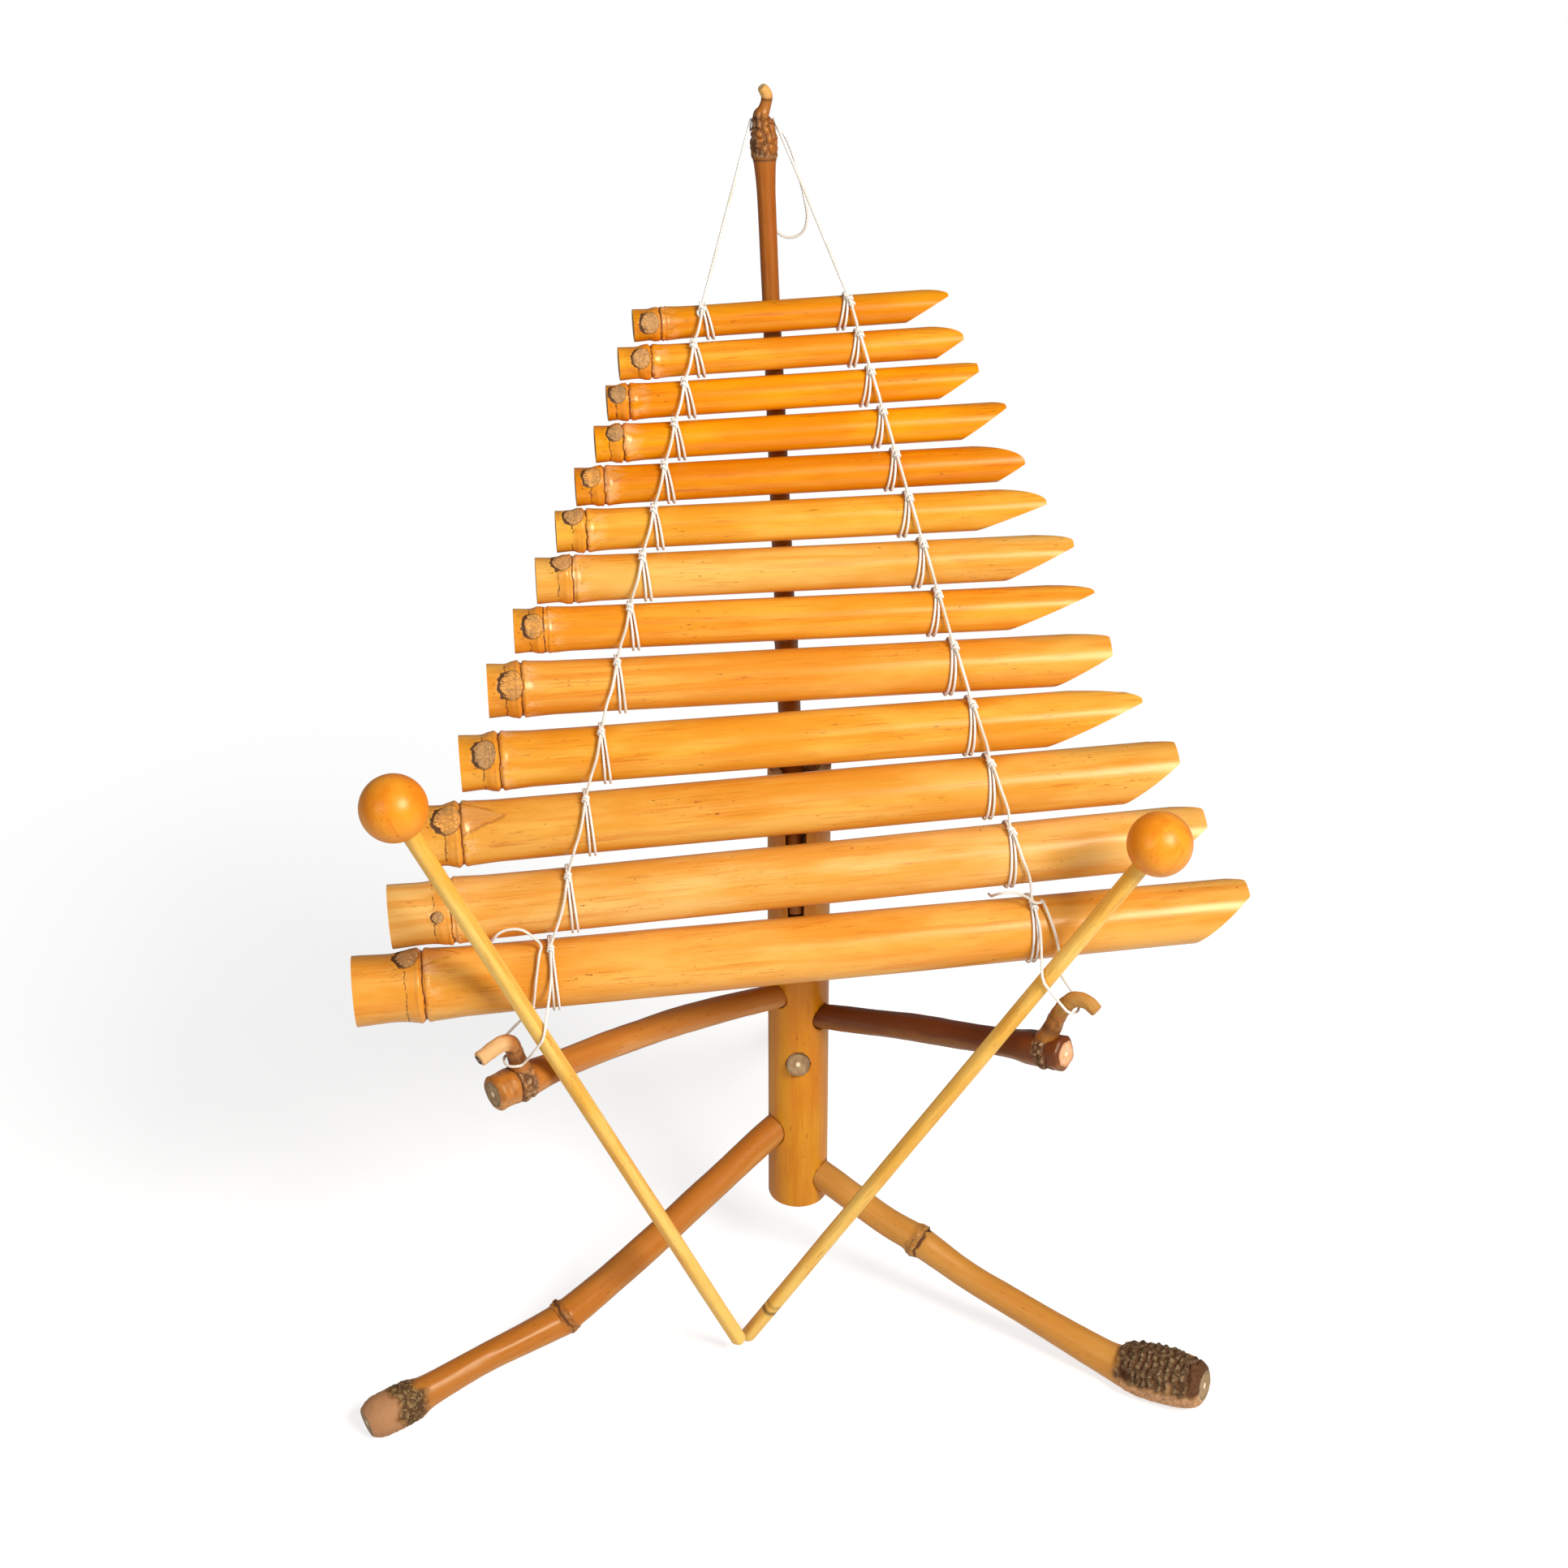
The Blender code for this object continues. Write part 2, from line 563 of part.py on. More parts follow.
def key_mesh(index):
    """A hollow key: open stub, joint with its diaphragm, barrel, and quill-cut open end."""
    key = KEYS[index]
    length = key_length(index)
    radius = key.diameter / 2.0 * MM
    wall = KEY_WALL * radius
    stub = key.stub * MM
    step = 0.16 * radius + 0.6 * MM
    turns = key_turns(key)

    def ring(x, size):
        return [Vector((x, size * math.sin(t), size * math.cos(t))) for t in turns]

    def tip_ring(size, full):
        points = []
        for t in turns:
            high = size / full * math.sin(t)
            deep = size / full * math.cos(t)
            points.append(Vector((length - tip_setback(key, high, deep), size * math.sin(t), size * math.cos(t))))
        return points

    end = key_radius(index, 1.0)
    rings = [ring(stub - 0.6 * step, radius - 1.6 * wall), ring(0.0, radius - wall), ring(0.0, radius * 1.02),
             ring(0.55 * stub, radius * 0.985), ring(stub - step, radius * 1.03), ring(stub - 0.4 * step, radius * 1.075),
             ring(stub + 0.3 * step, radius * 1.0), ring(stub + 0.7 * step, radius * 1.055),
             ring(stub + 1.3 * radius, radius * 1.01), ring(0.2 * length, key_radius(index, 0.2)),
             tip_ring(end, end), tip_ring(end - wall, end), ring(stub + 1.5 * step, radius - 1.5 * wall)]
    return loft(rings)


def make_key(index, ladder, finish):
    name = f"key_{index + 1:02d}"
    holder = empty(name + "_axis", ladder, key_matrix(index))
    key = add_mesh(name, key_mesh(index), holder, finish)
    key.location = (key_left(index), 0.0, 0.0)
    return key


def key_point(index, x, lift, turn):
    """A ladder-frame point beside a key: x along it, lift off its surface, turn from front to top."""
    share = (x - key_left(index)) / key_length(index)
    reach = key_radius(index, share) + lift
    return key_matrix(index) @ Vector((x, reach * math.sin(turn), reach * math.cos(turn)))


def sling_x(index, side):
    """Middle of a key's winding: just inside the cord's line at that key."""
    return cord_x(side, key_drop(index)) - side * SLING_INSET


def make_sling(index, side, ladder, finish):
    """Two turns of cord round a key, one unbroken tube that starts and ends behind it."""
    middle = sling_x(index, side)
    half = SLING_TURNS * SLING_PITCH / 2.0
    share = (middle - half - key_left(index)) / key_length(index)
    reach = (key_radius(index, share) + GAP + SLING_D / 2.0) / math.cos(math.pi / SLING_POINTS)
    step = 2.0 * math.pi / SLING_POINTS
    points = []
    for k in range(SLING_TURNS * SLING_POINTS + 1):
        turn = math.pi - k * step
        x = middle + side * (half - SLING_PITCH * k / SLING_POINTS)
        points.append(key_matrix(index) @ Vector((x, reach * math.sin(turn), reach * math.cos(turn))))
    word = "left" if side < 0 else "right"
    cord(f"sling_{word}_{index + 1:02d}", points, SLING_D, ladder, finish)
    return least_gap(points, SLING_D)


def run_point(index, x, step):
    """A point of the cord that runs over a key's winding, at a whole step of the winding's own corners."""
    middle = sling_x(index, 1 if x > 0.0 else -1)
    share = (middle - SLING_PITCH - key_left(index)) / key_length(index)
    lift = GAP + SLING_D + GAP + CORD_D / 2.0
    reach = (key_radius(index, share) + lift) / math.cos(math.pi / SLING_POINTS)
    turn = 2.0 * math.pi * step / SLING_POINTS
    return ladder_matrix() @ key_matrix(index) @ Vector((x, reach * math.sin(turn), reach * math.cos(turn)))


def run_points(index, side):
    """The running cord over one key: over its top edge, its face, and off towards the next key."""
    drop = key_drop(index)
    radius = KEYS[index].diameter / 2.0 * MM
    return [run_point(index, cord_x(side, drop - share * radius), step)
            for share, step in ((1.0, 1.5), (0.7, 1), (0.1, 0), (-0.75, -1))]


def ladder_matrix():
    return Matrix.Translation(LADDER_TOP) @ Matrix.Rotation(math.pi / 2.0 - LADDER_LEAN, 4, "X")


def loop_points(side, tip, ball):
    """From the last key's face over the mallet to the hook, round its stem, and back under the mallet."""
    last = len(KEYS) - 1
    start_x = cord_x(side, key_drop(last) - KEYS[last].diameter / 2.0 * MM)
    over = [run_point(last, start_x + side * out * MM, step) for out, step in ((0.0, 1.5), (0.5, 1), (1.2, 0))]
    back = ((8.0, -1), (6.5, 0), (4.6, 1), (3.6, 1.5))
    under = [run_point(last, start_x + side * out * MM, step) for out, step in back]
    seat, stem, up = hook_seat(side)
    angle = arm_shape(side)[0]
    out = radial(angle, 1.0, 0.0)
    out = (out - up * out.dot(up)).normalized()
    front = up.cross(out)
    if front.y > 0.0:
        front = -front
    ring = (stem + GAP + CORD_D / 2.0) / math.cos(math.radians(18.0)) + 0.1 * MM
    wrap = []
    for degrees in (90.0, 54.0, 18.0, -18.0, -54.0, -90.0):
        turn = math.radians(degrees)
        wrap.append(seat + (front * math.sin(turn) + out * math.cos(turn)) * ring)
    if side < 0:
        wrap.append(seat + up * 6.0 * MM - front * (ring + 0.8 * MM))
    shaft = (ball - tip).normalized()
    spread = SHAFT_D / 2.0 + GAP + CORD_D / 2.0 + 0.2 * MM
    crossings = []
    for near, far, facing in ((over[-1], wrap[0], 1.0), (under[0], wrap[-1], -1.0)):
        line = (far - near).normalized()
        away = shaft.cross(line).normalized()
        if away.y > 0.0:
            away = -away
        gap = near - tip
        flat = line - shaft * line.dot(shaft)
        share = -(gap - shaft * gap.dot(shaft)).dot(flat) / flat.length_squared
        at = tip + shaft * (near + line * share - tip).dot(shaft)
        along = line / flat.length
        bends = (-0.6, 0.0, 0.6) if facing > 0.0 else (0.0,)
        crossings.append([at + (away * facing * math.cos(b) + along * math.sin(b)) * spread for b in bends])
    return over + crossings[0] + wrap + crossings[1] + under


def tail_points(side):
    """The cord's loose end: a small arch by the last knot that dips into the gap above the last key."""
    last = len(KEYS) - 1
    start = cord_x(side, key_drop(last) - KEYS[last].diameter / 2.0 * MM) + side * 3.6 * MM
    place = ladder_matrix()
    if side < 0:
        arch = ((-2.2, 5.4, 57.0), (-6.0, 8.6, 60.0), (-10.5, 9.8, 59.0), (-14.0, 9.0, 58.0), (-16.2, 6.0, 60.0),
                (-17.0, 2.7, 72.0), (-17.3, 1.2, 90.0), (-17.4, 2.1, 106.0))
    else:
        arch = ((-1.0, 3.4, 46.0), (-3.6, 4.8, 44.0), (-6.6, 5.8, 52.0), (-11.0, 6.4, 58.0), (-14.4, 5.4, 62.0),
                (-16.2, 3.2, 72.0), (-16.9, 1.4, 88.0), (-17.1, 2.1, 106.0))
    return [place @ key_point(last, start + along * MM, lift * MM, math.radians(turn)) for along, lift, turn in arch]


def make_ladder_cord(stand, finish):
    """One cord: the left tail and hook, up the left side, round the mast, and down the right side."""
    last = len(KEYS) - 1
    sides = {}
    for side, tip, ball in ((-1, LEFT_TIP, LEFT_BALL), (1, RIGHT_TIP, RIGHT_BALL)):
        points = []
        for index in range(last):
            points += run_points(index, side)
        sides[side] = points + loop_points(side, tip, ball) + tail_points(side)
    tie = mast_point(MAST_TIE_Z + 0.6 * MM)
    points = sides[-1][::-1] + knob_ring(tie, (180.0, 144.0, 108.0, 72.0, 36.0, 0.0)) + sides[1]
    cord("ladder_cord", points, CORD_D, stand, finish)
    return least_gap(points, CORD_D)


def knob_ring(centre, angles):
    """Points round the back of the mast's knob, a little clear of it."""
    ring = (MAST_KNOB_D / 2.0 + GAP + CORD_D / 2.0) / math.cos(math.radians(18.0)) + 0.1 * MM
    return [centre + Vector((math.cos(math.radians(a)), math.sin(math.radians(a)), 0.0)) * ring for a in angles]


# The spare loop by which the instrument is hung up: its free run from the back of the knob and back to
# it, chosen by hand
HANG_LOOP = ((-0.8, 58.8, 463.6), (1.8, 59.2, 460.4), (4.0, 59.0, 455.4), (5.8, 58.6, 449.8),
             (7.4, 58.2, 443.8), (8.8, 57.8, 437.6), (9.6, 57.4, 431.6), (8.6, 57.2, 426.8),
             (5.4, 57.1, 424.4), (1.4, 57.0, 424.6), (-2.2, 57.0, 427.6), (-4.2, 57.2, 433.0),
             (-5.0, 57.8, 440.4), (-5.3, 58.4, 448.2), (-5.6, 59.0, 456.0), (-5.8, 59.4, 461.6))


def make_hang_loop(stand, finish):
    tie = mast_point(MAST_TIE_Z + 2.4 * MM)
    first, last = knob_ring(tie, (64.0, 108.0))
    rows = [(first, 0.0)] + [(Vector(point) * MM, 0.0) for point in HANG_LOOP] + [(last, 0.0)]
    points = [place for place, _ in smooth_path(rows, 2)]
    made = cord("hang_loop", points, CORD_D, stand, finish)
    made.data.bevel_resolution = 2
    return least_gap(points, CORD_D)


# The mallets
def make_mallet(word, tip, ball, stand, shaft_finish, ball_finish):
    """A split-bamboo shaft and the turned ball on its end, both along the line that the mallet slides on."""
    along = (ball - tip).normalized()
    turn = along.to_track_quat("Z", "Y").to_matrix().to_4x4()
    holder = empty(f"{word}_mallet_axis", stand, Matrix.Translation(ball) @ turn)
    reach = (ball - tip).length
    half = SHAFT_D / 2.0
    top = SOCKET_DEPTH - BALL_D / 2.0 - GAP
    profile = ((0.0, -reach), (half * 0.86, -reach), (half * 0.98, -reach + 1.0 * MM), (half, -reach + 34.0 * MM),
               (half, top), (0.0, top))
    turned(f"{word}_mallet_shaft", profile, 12, holder, shaft_finish)
    radius = BALL_D / 2.0
    bore = half + GAP
    mouth = -math.sqrt(radius ** 2 - bore ** 2)
    floor = SOCKET_DEPTH - radius
    steps = 9
    first = math.asin(mouth / radius)
    profile = [(0.0, floor), (bore, floor), (bore, mouth)]
    for k in range(1, steps):
        turn = first + (math.pi / 2.0 - first) * k / steps
        profile.append((radius * math.cos(turn), radius * math.sin(turn)))
    profile.append((0.0, radius))
    turned(f"{word}_mallet_ball", profile, 16, holder, ball_finish)


def main():
    clear_scene()
    gold = material("bamboo_gold", BAMBOO_GOLD, 0.32)
    pale = material("bamboo_pale", BAMBOO_PALE, 0.38)
    brown = material("branch_brown", BAMBOO_BROWN, 0.55)
    wood = material("ball_wood", BALL_WOOD, 0.28)
    cotton = material("cotton_cord", COTTON, 0.85)
    stand = empty("stand_origin", None, Matrix.Translation((STAND_X, STAND_Y, 0.0)))
    make_post(stand, gold.copy())
    make_mast(stand, brown.copy())
    for side in (-1, 1):
        make_arm(side, stand, brown.copy())
    make_left_leg(stand, brown.copy())
    make_right_leg(stand, brown.copy())
    make_rear_leg(stand, brown.copy())
    ladder = empty("ladder_frame", stand, ladder_matrix())
    gaps = []
    for index in range(len(KEYS)):
        make_key(index, ladder, gold.copy())
        for side in (-1, 1):
            gaps.append(make_sling(index, side, ladder, cotton.copy()))
    gaps.append(make_ladder_cord(stand, cotton.copy()))
    gaps.append(make_hang_loop(stand, cotton.copy()))
    make_mallet("left", LEFT_TIP, LEFT_BALL, stand, pale.copy(), wood.copy())
    make_mallet("right", RIGHT_TIP, RIGHT_BALL, stand, pale.copy(), wood.copy())
    bpy.context.view_layer.update()
    print("least gap of a cord to itself, mm:", round(min(gaps) / MM, 2), [round(g / MM, 2) for g in gaps[-2:]])


main()
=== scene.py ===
"""Looks of the bamboo xylophone: fine surfaces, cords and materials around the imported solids.

Metres, in the frame of the solids. The ladder's own frame has X along the keys, Y up the ladder and Z out
of it towards the player. Each limb and key carries a "grain" attribute, its place as if it were straight,
and "marks", how dark, how barky and how pale it is there.
"""

import math
from collections import namedtuple

import bmesh
import bpy
from mathutils import Matrix, Vector, noise


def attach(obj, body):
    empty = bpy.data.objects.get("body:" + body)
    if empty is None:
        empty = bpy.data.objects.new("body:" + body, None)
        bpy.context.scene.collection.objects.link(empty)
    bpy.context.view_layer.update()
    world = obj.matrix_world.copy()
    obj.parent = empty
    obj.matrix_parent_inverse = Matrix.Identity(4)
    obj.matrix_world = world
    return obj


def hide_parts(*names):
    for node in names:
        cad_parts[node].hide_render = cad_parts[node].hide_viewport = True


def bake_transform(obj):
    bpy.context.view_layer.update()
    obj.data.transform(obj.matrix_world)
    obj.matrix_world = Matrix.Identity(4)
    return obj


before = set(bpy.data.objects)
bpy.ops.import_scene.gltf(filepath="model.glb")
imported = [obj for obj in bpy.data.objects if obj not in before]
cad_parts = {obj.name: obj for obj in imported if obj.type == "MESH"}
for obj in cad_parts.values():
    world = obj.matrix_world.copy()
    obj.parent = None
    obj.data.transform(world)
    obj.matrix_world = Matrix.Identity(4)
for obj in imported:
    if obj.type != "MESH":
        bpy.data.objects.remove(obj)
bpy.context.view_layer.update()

MM = 0.001
GAP = 0.3 * MM
CORD_D = 1.1 * MM
CORD_SIDES = 9
CORD_LAY = 3.9 * MM
SLING_D = 0.95 * MM
WINDING_SHIFT = 1.8 * MM
HITCH_TURNS = 2.6
HITCH_STEPS = 20
HITCH_PITCH = 1.45 * MM
CORD_STEP = 0.35 * MM
SLING_PITCH = 1.4 * MM
SLING_INSET = 2.0 * MM

STAND = Matrix.Translation((11.4 * MM, -31.2 * MM, 0.0))
POST_D = 24.0 * MM
POST_WALL = 3.6 * MM
POST_FOOT_Z = 38.0 * MM
POST_TOP_Z = 240.0 * MM
SLOT_X = -2.5 * MM
SLOT_FOOT_Z = 165.0 * MM
SLOT_TOP_WIDTH = 9.4 * MM
SLOT_FOOT_WIDTH = 5.4 * MM

MAST_D = 8.4 * MM
MAST_RIM_D = 7.6 * MM
MAST_TOP_D = 6.3 * MM
MAST_FOOT_W = 4.2 * MM
MAST_FOOT_Z = 180.0 * MM
MAST_LEAN = 0.2100
MAST_DRIFT = -0.0190
MAST_TIE_Z = 464.0 * MM
MAST_KNOB_D = 8.9 * MM

Arm = namedtuple("Arm", "angle z rise bow reach")
ARMS = {-1: Arm(math.radians(-55.0), 137.0 * MM, 0.270, 0.94, 147.5 * MM),
        1: Arm(math.radians(46.0), 126.0 * MM, 0.320, 0.47, 122.0 * MM)}
ARM_D = 9.8 * MM
ARM_NODE_D = 14.0 * MM
LEFT_LEG_ANGLE = math.radians(-65.3)
RIGHT_LEG_ANGLE = math.radians(53.6)
REAR_LEG_ANGLE = math.radians(172.5)
LEFT_LEG_Z = 80.0 * MM
RIGHT_LEG_Z = 55.0 * MM
REAR_LEG_Z = 103.0 * MM
LEFT_LEG_RISE = -0.560
RIGHT_LEG_RISE = -0.430
LEG_D = 11.6 * MM
REAR_LEG_D = 9.2 * MM
REAR_LEG_REACH = 166.0 * MM
SOLE_CUT = 1.0 * MM

LADDER_LEAN = math.radians(23.1)
LADDER_TOP = Vector((-8.0 * MM, 50.0 * MM, 464.0 * MM))
LADDER = STAND @ Matrix.Translation(LADDER_TOP) @ Matrix.Rotation(math.pi / 2.0 - LADDER_LEAN, 4, "X")
KEY_LENGTH = 111.0 * MM
KEY_LENGTH_RATIO = 1.0939
FIRST_KEY_DROP = 62.6 * MM
KEY_WALL = 0.20
CORD_X = {-1: (-6.0 * MM, -0.300), 1: (12.5 * MM, 0.262)}

BALL_D = 23.0 * MM
SHAFT_D = 6.2 * MM
SOCKET_DEPTH = 11.0 * MM
MALLETS = {"left": (Vector((-30.4, -54.0, 7.6)) * MM, Vector((-146.4, -99.0, 289.0)) * MM),
           "right": (Vector((-26.8, -47.4, 3.2)) * MM, Vector((113.0, -96.0, 254.3)) * MM)}

Key = namedtuple("Key", "diameter gap tilt overhang stub trim taper tip_high tip_low top_cut low_cut")
KEYS = (
    Key(11.1, 0.0, 1.5, 22.9, 10.5, 0.0, 0.00, 0.56, 0.44, 9.0, 15.0),
    Key(11.3, 1.65, 1.35, 24.8, 11.0, 0.0, 0.00, 0.22, 0.02, 11.5, 9.5),
    Key(12.2, 1.65, 1.1, 25.6, 7.5, -1.5, 0.00, 0.88, 0.40, 8.5, 14.0),
    Key(12.7, 1.65, 0.8, 26.3, 9.5, 0.5, 0.00, 0.78, 0.62, 4.5, 16.0),
    Key(13.2, 1.65, 0.4, 29.5, 10.0, 0.0, 0.00, 0.02, -0.12, 17.5, 9.5),
    Key(14.4, 1.65, 0.0, 32.5, 10.0, 0.0, 0.00, 0.28, 0.14, 16.5, 24.5),
    Key(16.0, 1.80, -0.3, 35.3, 13.0, 1.0, 0.00, 0.70, 0.42, 13.0, 24.5),
    Key(15.5, 1.65, -0.5, 38.8, 11.0, -1.0, 0.00, 0.68, 0.58, 15.5, 31.0),
    Key(18.8, 2.60, -0.2, 43.2, 11.5, -5.0, 0.00, 0.84, 0.14, 14.0, 20.0),
    Key(19.8, 2.50, 0.9, 47.5, 13.5, -4.5, 0.00, 0.58, 0.46, 25.0, 35.0),
    Key(22.0, 1.65, 1.6, 55.7, 13.5, 0.0, 0.00, 0.94, 0.30, 10.0, 20.0),
    Key(22.6, 3.10, 2.1, 60.9, 22.0, -3.0, 0.01, 0.88, 0.36, 9.5, 20.0),
    Key(24.8, 2.50, 1.5, 66.9, 24.0, -1.5, 0.09, 0.94, 0.52, 5.0, 20.0),
)
LAST = len(KEYS) - 1
SKY_LIGHT = 0.20
FLOOR_TONE = 0.80
FLOOR_SEEN = 1.75
FLOOR_GLOW = 0.72
DARK_WOOD = (0.10, 0.030, 0.008, 1.0)
GREY_BARK = ((0.20, 0.115, 0.050), (0.56, 0.37, 0.20))
UNDER_SPREAD = 4.0 * MM
ROUND_SHARE = 0.45
LACQUER = (1.0, 0.86, 0.62, 1.0)

# For each key: where its branch scar is, from its left end in millimetres and round it in degrees from the
# front to the top, the scar's half length and half height, where its joint line is, how plain the trace of the
# sheath beside the scar is, the scar's colour and the skin's
Look = namedtuple("Look", "scar_x scar_turn scar_a scar_b line trace scar colour")
TAN = (0.60, 0.29, 0.095)
OCHRE = (0.68, 0.30, 0.065)
ASH = (0.50, 0.26, 0.095)
LOOKS = (
    Look(5.3, 3, 3.3, 3.6, 9.4, 0.7, TAN, (0.71, 0.235, 0.002)),
    Look(7.5, 13, 3.2, 3.5, 11.2, 0.2, TAN, (0.77, 0.280, 0.010)),
    Look(3.6, 28, 3.0, 3.4, 7.6, 0.6, ASH, (0.80, 0.265, 0.001)),
    Look(7.0, 34, 3.0, 3.2, 9.6, 0.3, ASH, (0.78, 0.265, 0.001)),
    Look(5.4, 30, 3.2, 3.6, 10.0, 0.9, OCHRE, (0.71, 0.225, 0.002)),
    Look(6.2, 46, 3.6, 3.6, 10.4, 0.2, TAN, (0.80, 0.360, 0.030)),
    Look(9.2, 50, 3.6, 3.8, 12.8, 0.3, TAN, (0.78, 0.370, 0.055)),
    Look(6.5, 15, 3.6, 4.4, 10.4, 0.2, OCHRE, (0.80, 0.310, 0.020)),
    Look(8.2, 14, 4.4, 5.0, 11.8, 0.2, OCHRE, (0.78, 0.315, 0.032)),
    Look(8.6, 22, 4.0, 5.2, 13.9, 0.2, ASH, (0.80, 0.345, 0.030)),
    Look(9.6, 37, 5.0, 5.6, 14.2, 1.0, OCHRE, (0.75, 0.330, 0.040)),
    Look(17.0, 0, 2.2, 2.0, 21.8, 0.1, ASH, (0.80, 0.390, 0.075)),
    Look(19.5, 64, 4.5, 5.0, 24.6, 0.8, ASH, (0.80, 0.345, 0.045)),
)


# Camera, floor and light
def camera():
    lens = bpy.data.cameras.new("camera")
    lens.lens = 60.0
    lens.sensor_width = 36.0
    made = bpy.data.objects.new("camera", lens)
    bpy.context.scene.collection.objects.link(made)
    place = STAND @ Vector((-0.10938, -0.84410, 0.72255))
    aim = STAND @ Vector((-0.00574, 0.0, 0.23155))
    made.location = place
    made.rotation_mode = "QUATERNION"
    made.rotation_quaternion = (aim - place).to_track_quat("-Z", "Y")
    bpy.context.scene.camera = made


def lamp(name, place, aim, size, power, colour):
    light = bpy.data.lights.new(name, "AREA")
    light.shape = "DISK"
    light.size = size
    light.energy = power
    light.color = colour
    made = bpy.data.objects.new(name, light)
    bpy.context.scene.collection.objects.link(made)
    made.location = place
    made.rotation_mode = "QUATERNION"
    made.rotation_quaternion = (Vector(aim) - Vector(place)).to_track_quat("-Z", "Y")


class Graph:
    """Short words for a material's nodes."""

    def __init__(self, tree):
        self.tree = tree

    def node(self, kind, settings=(), inputs=()):
        made = self.tree.nodes.new(kind)
        for key, value in dict(settings).items():
            setattr(made, key, value)
        for key, value in dict(inputs).items():
            self.put(made.inputs[key], value)
        return made

    def put(self, socket, value):
        if isinstance(value, bpy.types.NodeSocket):
            self.tree.links.new(value, socket)
        else:
            socket.default_value = value

    def maths(self, operation, first, second=0.0, clamp=False):
        made = self.node("ShaderNodeMath", {"operation": operation, "use_clamp": clamp})
        self.put(made.inputs[0], first)
        self.put(made.inputs[1], second)
        return made.outputs[0]

    def mix(self, share, first, second, kind="MIX"):
        made = self.node("ShaderNodeMix", {"data_type": "RGBA", "blend_type": kind, "clamp_factor": True})
        self.put(made.inputs["Factor"], share)
        self.put(made.inputs["A"], first)
        self.put(made.inputs["B"], second)
        return made.outputs["Result"]

    def ramp(self, value, low, high):
        """A smooth step from 0 at low to 1 at high."""
        made = self.node("ShaderNodeMapRange", {"interpolation_type": "SMOOTHSTEP"},
                         {"Value": value, "From Min": low, "From Max": high})
        return made.outputs["Result"]

    def line(self, value, half):
        """1 where a value is about 0, and 0 further from it than half."""
        return self.ramp(self.maths("ABSOLUTE", value), half, 0.4 * half)

    def cracks(self, place, scale, seed=0.0):
        """How far a place is from the nearest edge between cells."""
        spread = self.node("ShaderNodeMapping", {"vector_type": "POINT"},
                           {"Vector": place, "Location": (seed, -seed, seed * 0.7), "Scale": scale})
        made = self.node("ShaderNodeTexVoronoi", {"feature": "DISTANCE_TO_EDGE"},
                         {"Vector": spread.outputs[0], "Scale": 1.0})
        return made.outputs["Distance"]

    def noise(self, place, scale, detail=3.0, rough=0.55, seed=0.0):
        spread = self.node("ShaderNodeMapping", {"vector_type": "POINT"},
                           {"Vector": place, "Location": (seed, seed * 1.7, -seed * 0.6), "Scale": scale})
        made = self.node("ShaderNodeTexNoise", {"noise_dimensions": "3D"},
                         {"Vector": spread.outputs[0], "Scale": 1.0, "Detail": detail, "Roughness": rough})
        return made.outputs["Fac"]


def rgba(colour, share=1.0):
    return (*(min(1.0, c * share) for c in colour), 1.0)


def stage():
    mesh = bpy.data.meshes.new("floor")
    half = 6.0
    mesh.from_pydata([(-half, -half, 0.0), (half, -half, 0.0), (half, half, 0.0), (-half, half, 0.0)], [], [(0, 1, 2, 3)])
    floor = bpy.data.objects.new("floor", mesh)
    bpy.context.scene.collection.objects.link(floor)
    finish = bpy.data.materials.new("floor_paint")
    finish.use_nodes = True
    graph = Graph(finish.node_tree)
    graph.tree.nodes.clear()
    seen = graph.node("ShaderNodeLightPath").outputs["Is Camera Ray"]
    shade = graph.mix(seen, rgba((FLOOR_TONE,) * 3), (*((FLOOR_SEEN,) * 3), 1.0))
    paint = graph.node("ShaderNodeBsdfDiffuse", (), {"Color": shade})
    glow = graph.node("ShaderNodeEmission", (), {"Color": (1.0, 1.0, 1.0, 1.0), "Strength": 1.0})
    spot = graph.node("ShaderNodeNewGeometry").outputs["Position"]
    reach = graph.node("ShaderNodeVectorMath", {"operation": "LENGTH"}, {0: spot}).outputs["Value"]
    far = graph.maths("MULTIPLY", graph.ramp(reach, 0.22, 0.60), 1.0 - FLOOR_GLOW)
    both = graph.node("ShaderNodeMixShader", (), {"Fac": graph.maths("MULTIPLY", seen, graph.maths("ADD", far, FLOOR_GLOW))})
    graph.put(both.inputs[1], paint.outputs[0])
    graph.put(both.inputs[2], glow.outputs[0])
    out = graph.node("ShaderNodeOutputMaterial")
    graph.put(out.inputs["Surface"], both.outputs[0])
    mesh.materials.append(finish)

    world = bpy.data.worlds.new("studio")
    bpy.context.scene.world = world
    world.use_nodes = True
    graph = Graph(world.node_tree)
    graph.tree.nodes.clear()
    seen = graph.node("ShaderNodeLightPath").outputs["Is Camera Ray"]
    level = graph.maths("ADD", SKY_LIGHT, graph.maths("MULTIPLY", seen, 1.0 - SKY_LIGHT))
    sky = graph.node("ShaderNodeBackground", (), {"Color": (1.0, 1.0, 1.0, 1.0), "Strength": level})
    out = graph.node("ShaderNodeOutputWorld")
    graph.put(out.inputs["Surface"], sky.outputs[0])
    middle = (0.0, 0.0, 0.2)
    lamp("key_light", (0.66, -1.00, 1.15), middle, 0.62, 24.0, (1.0, 0.98, 0.95))
    lamp("fill_light", (-1.0, -1.0, 0.9), middle, 0.9, 5.0, (1.0, 0.98, 0.96))
    view = bpy.context.scene.view_settings
    view.view_transform = "Standard"


# Materials
def tinted(colour, red, green, blue):
    return (min(1.0, colour[0] * red), min(1.0, colour[1] * green), min(1.0, colour[2] * blue), 1.0)


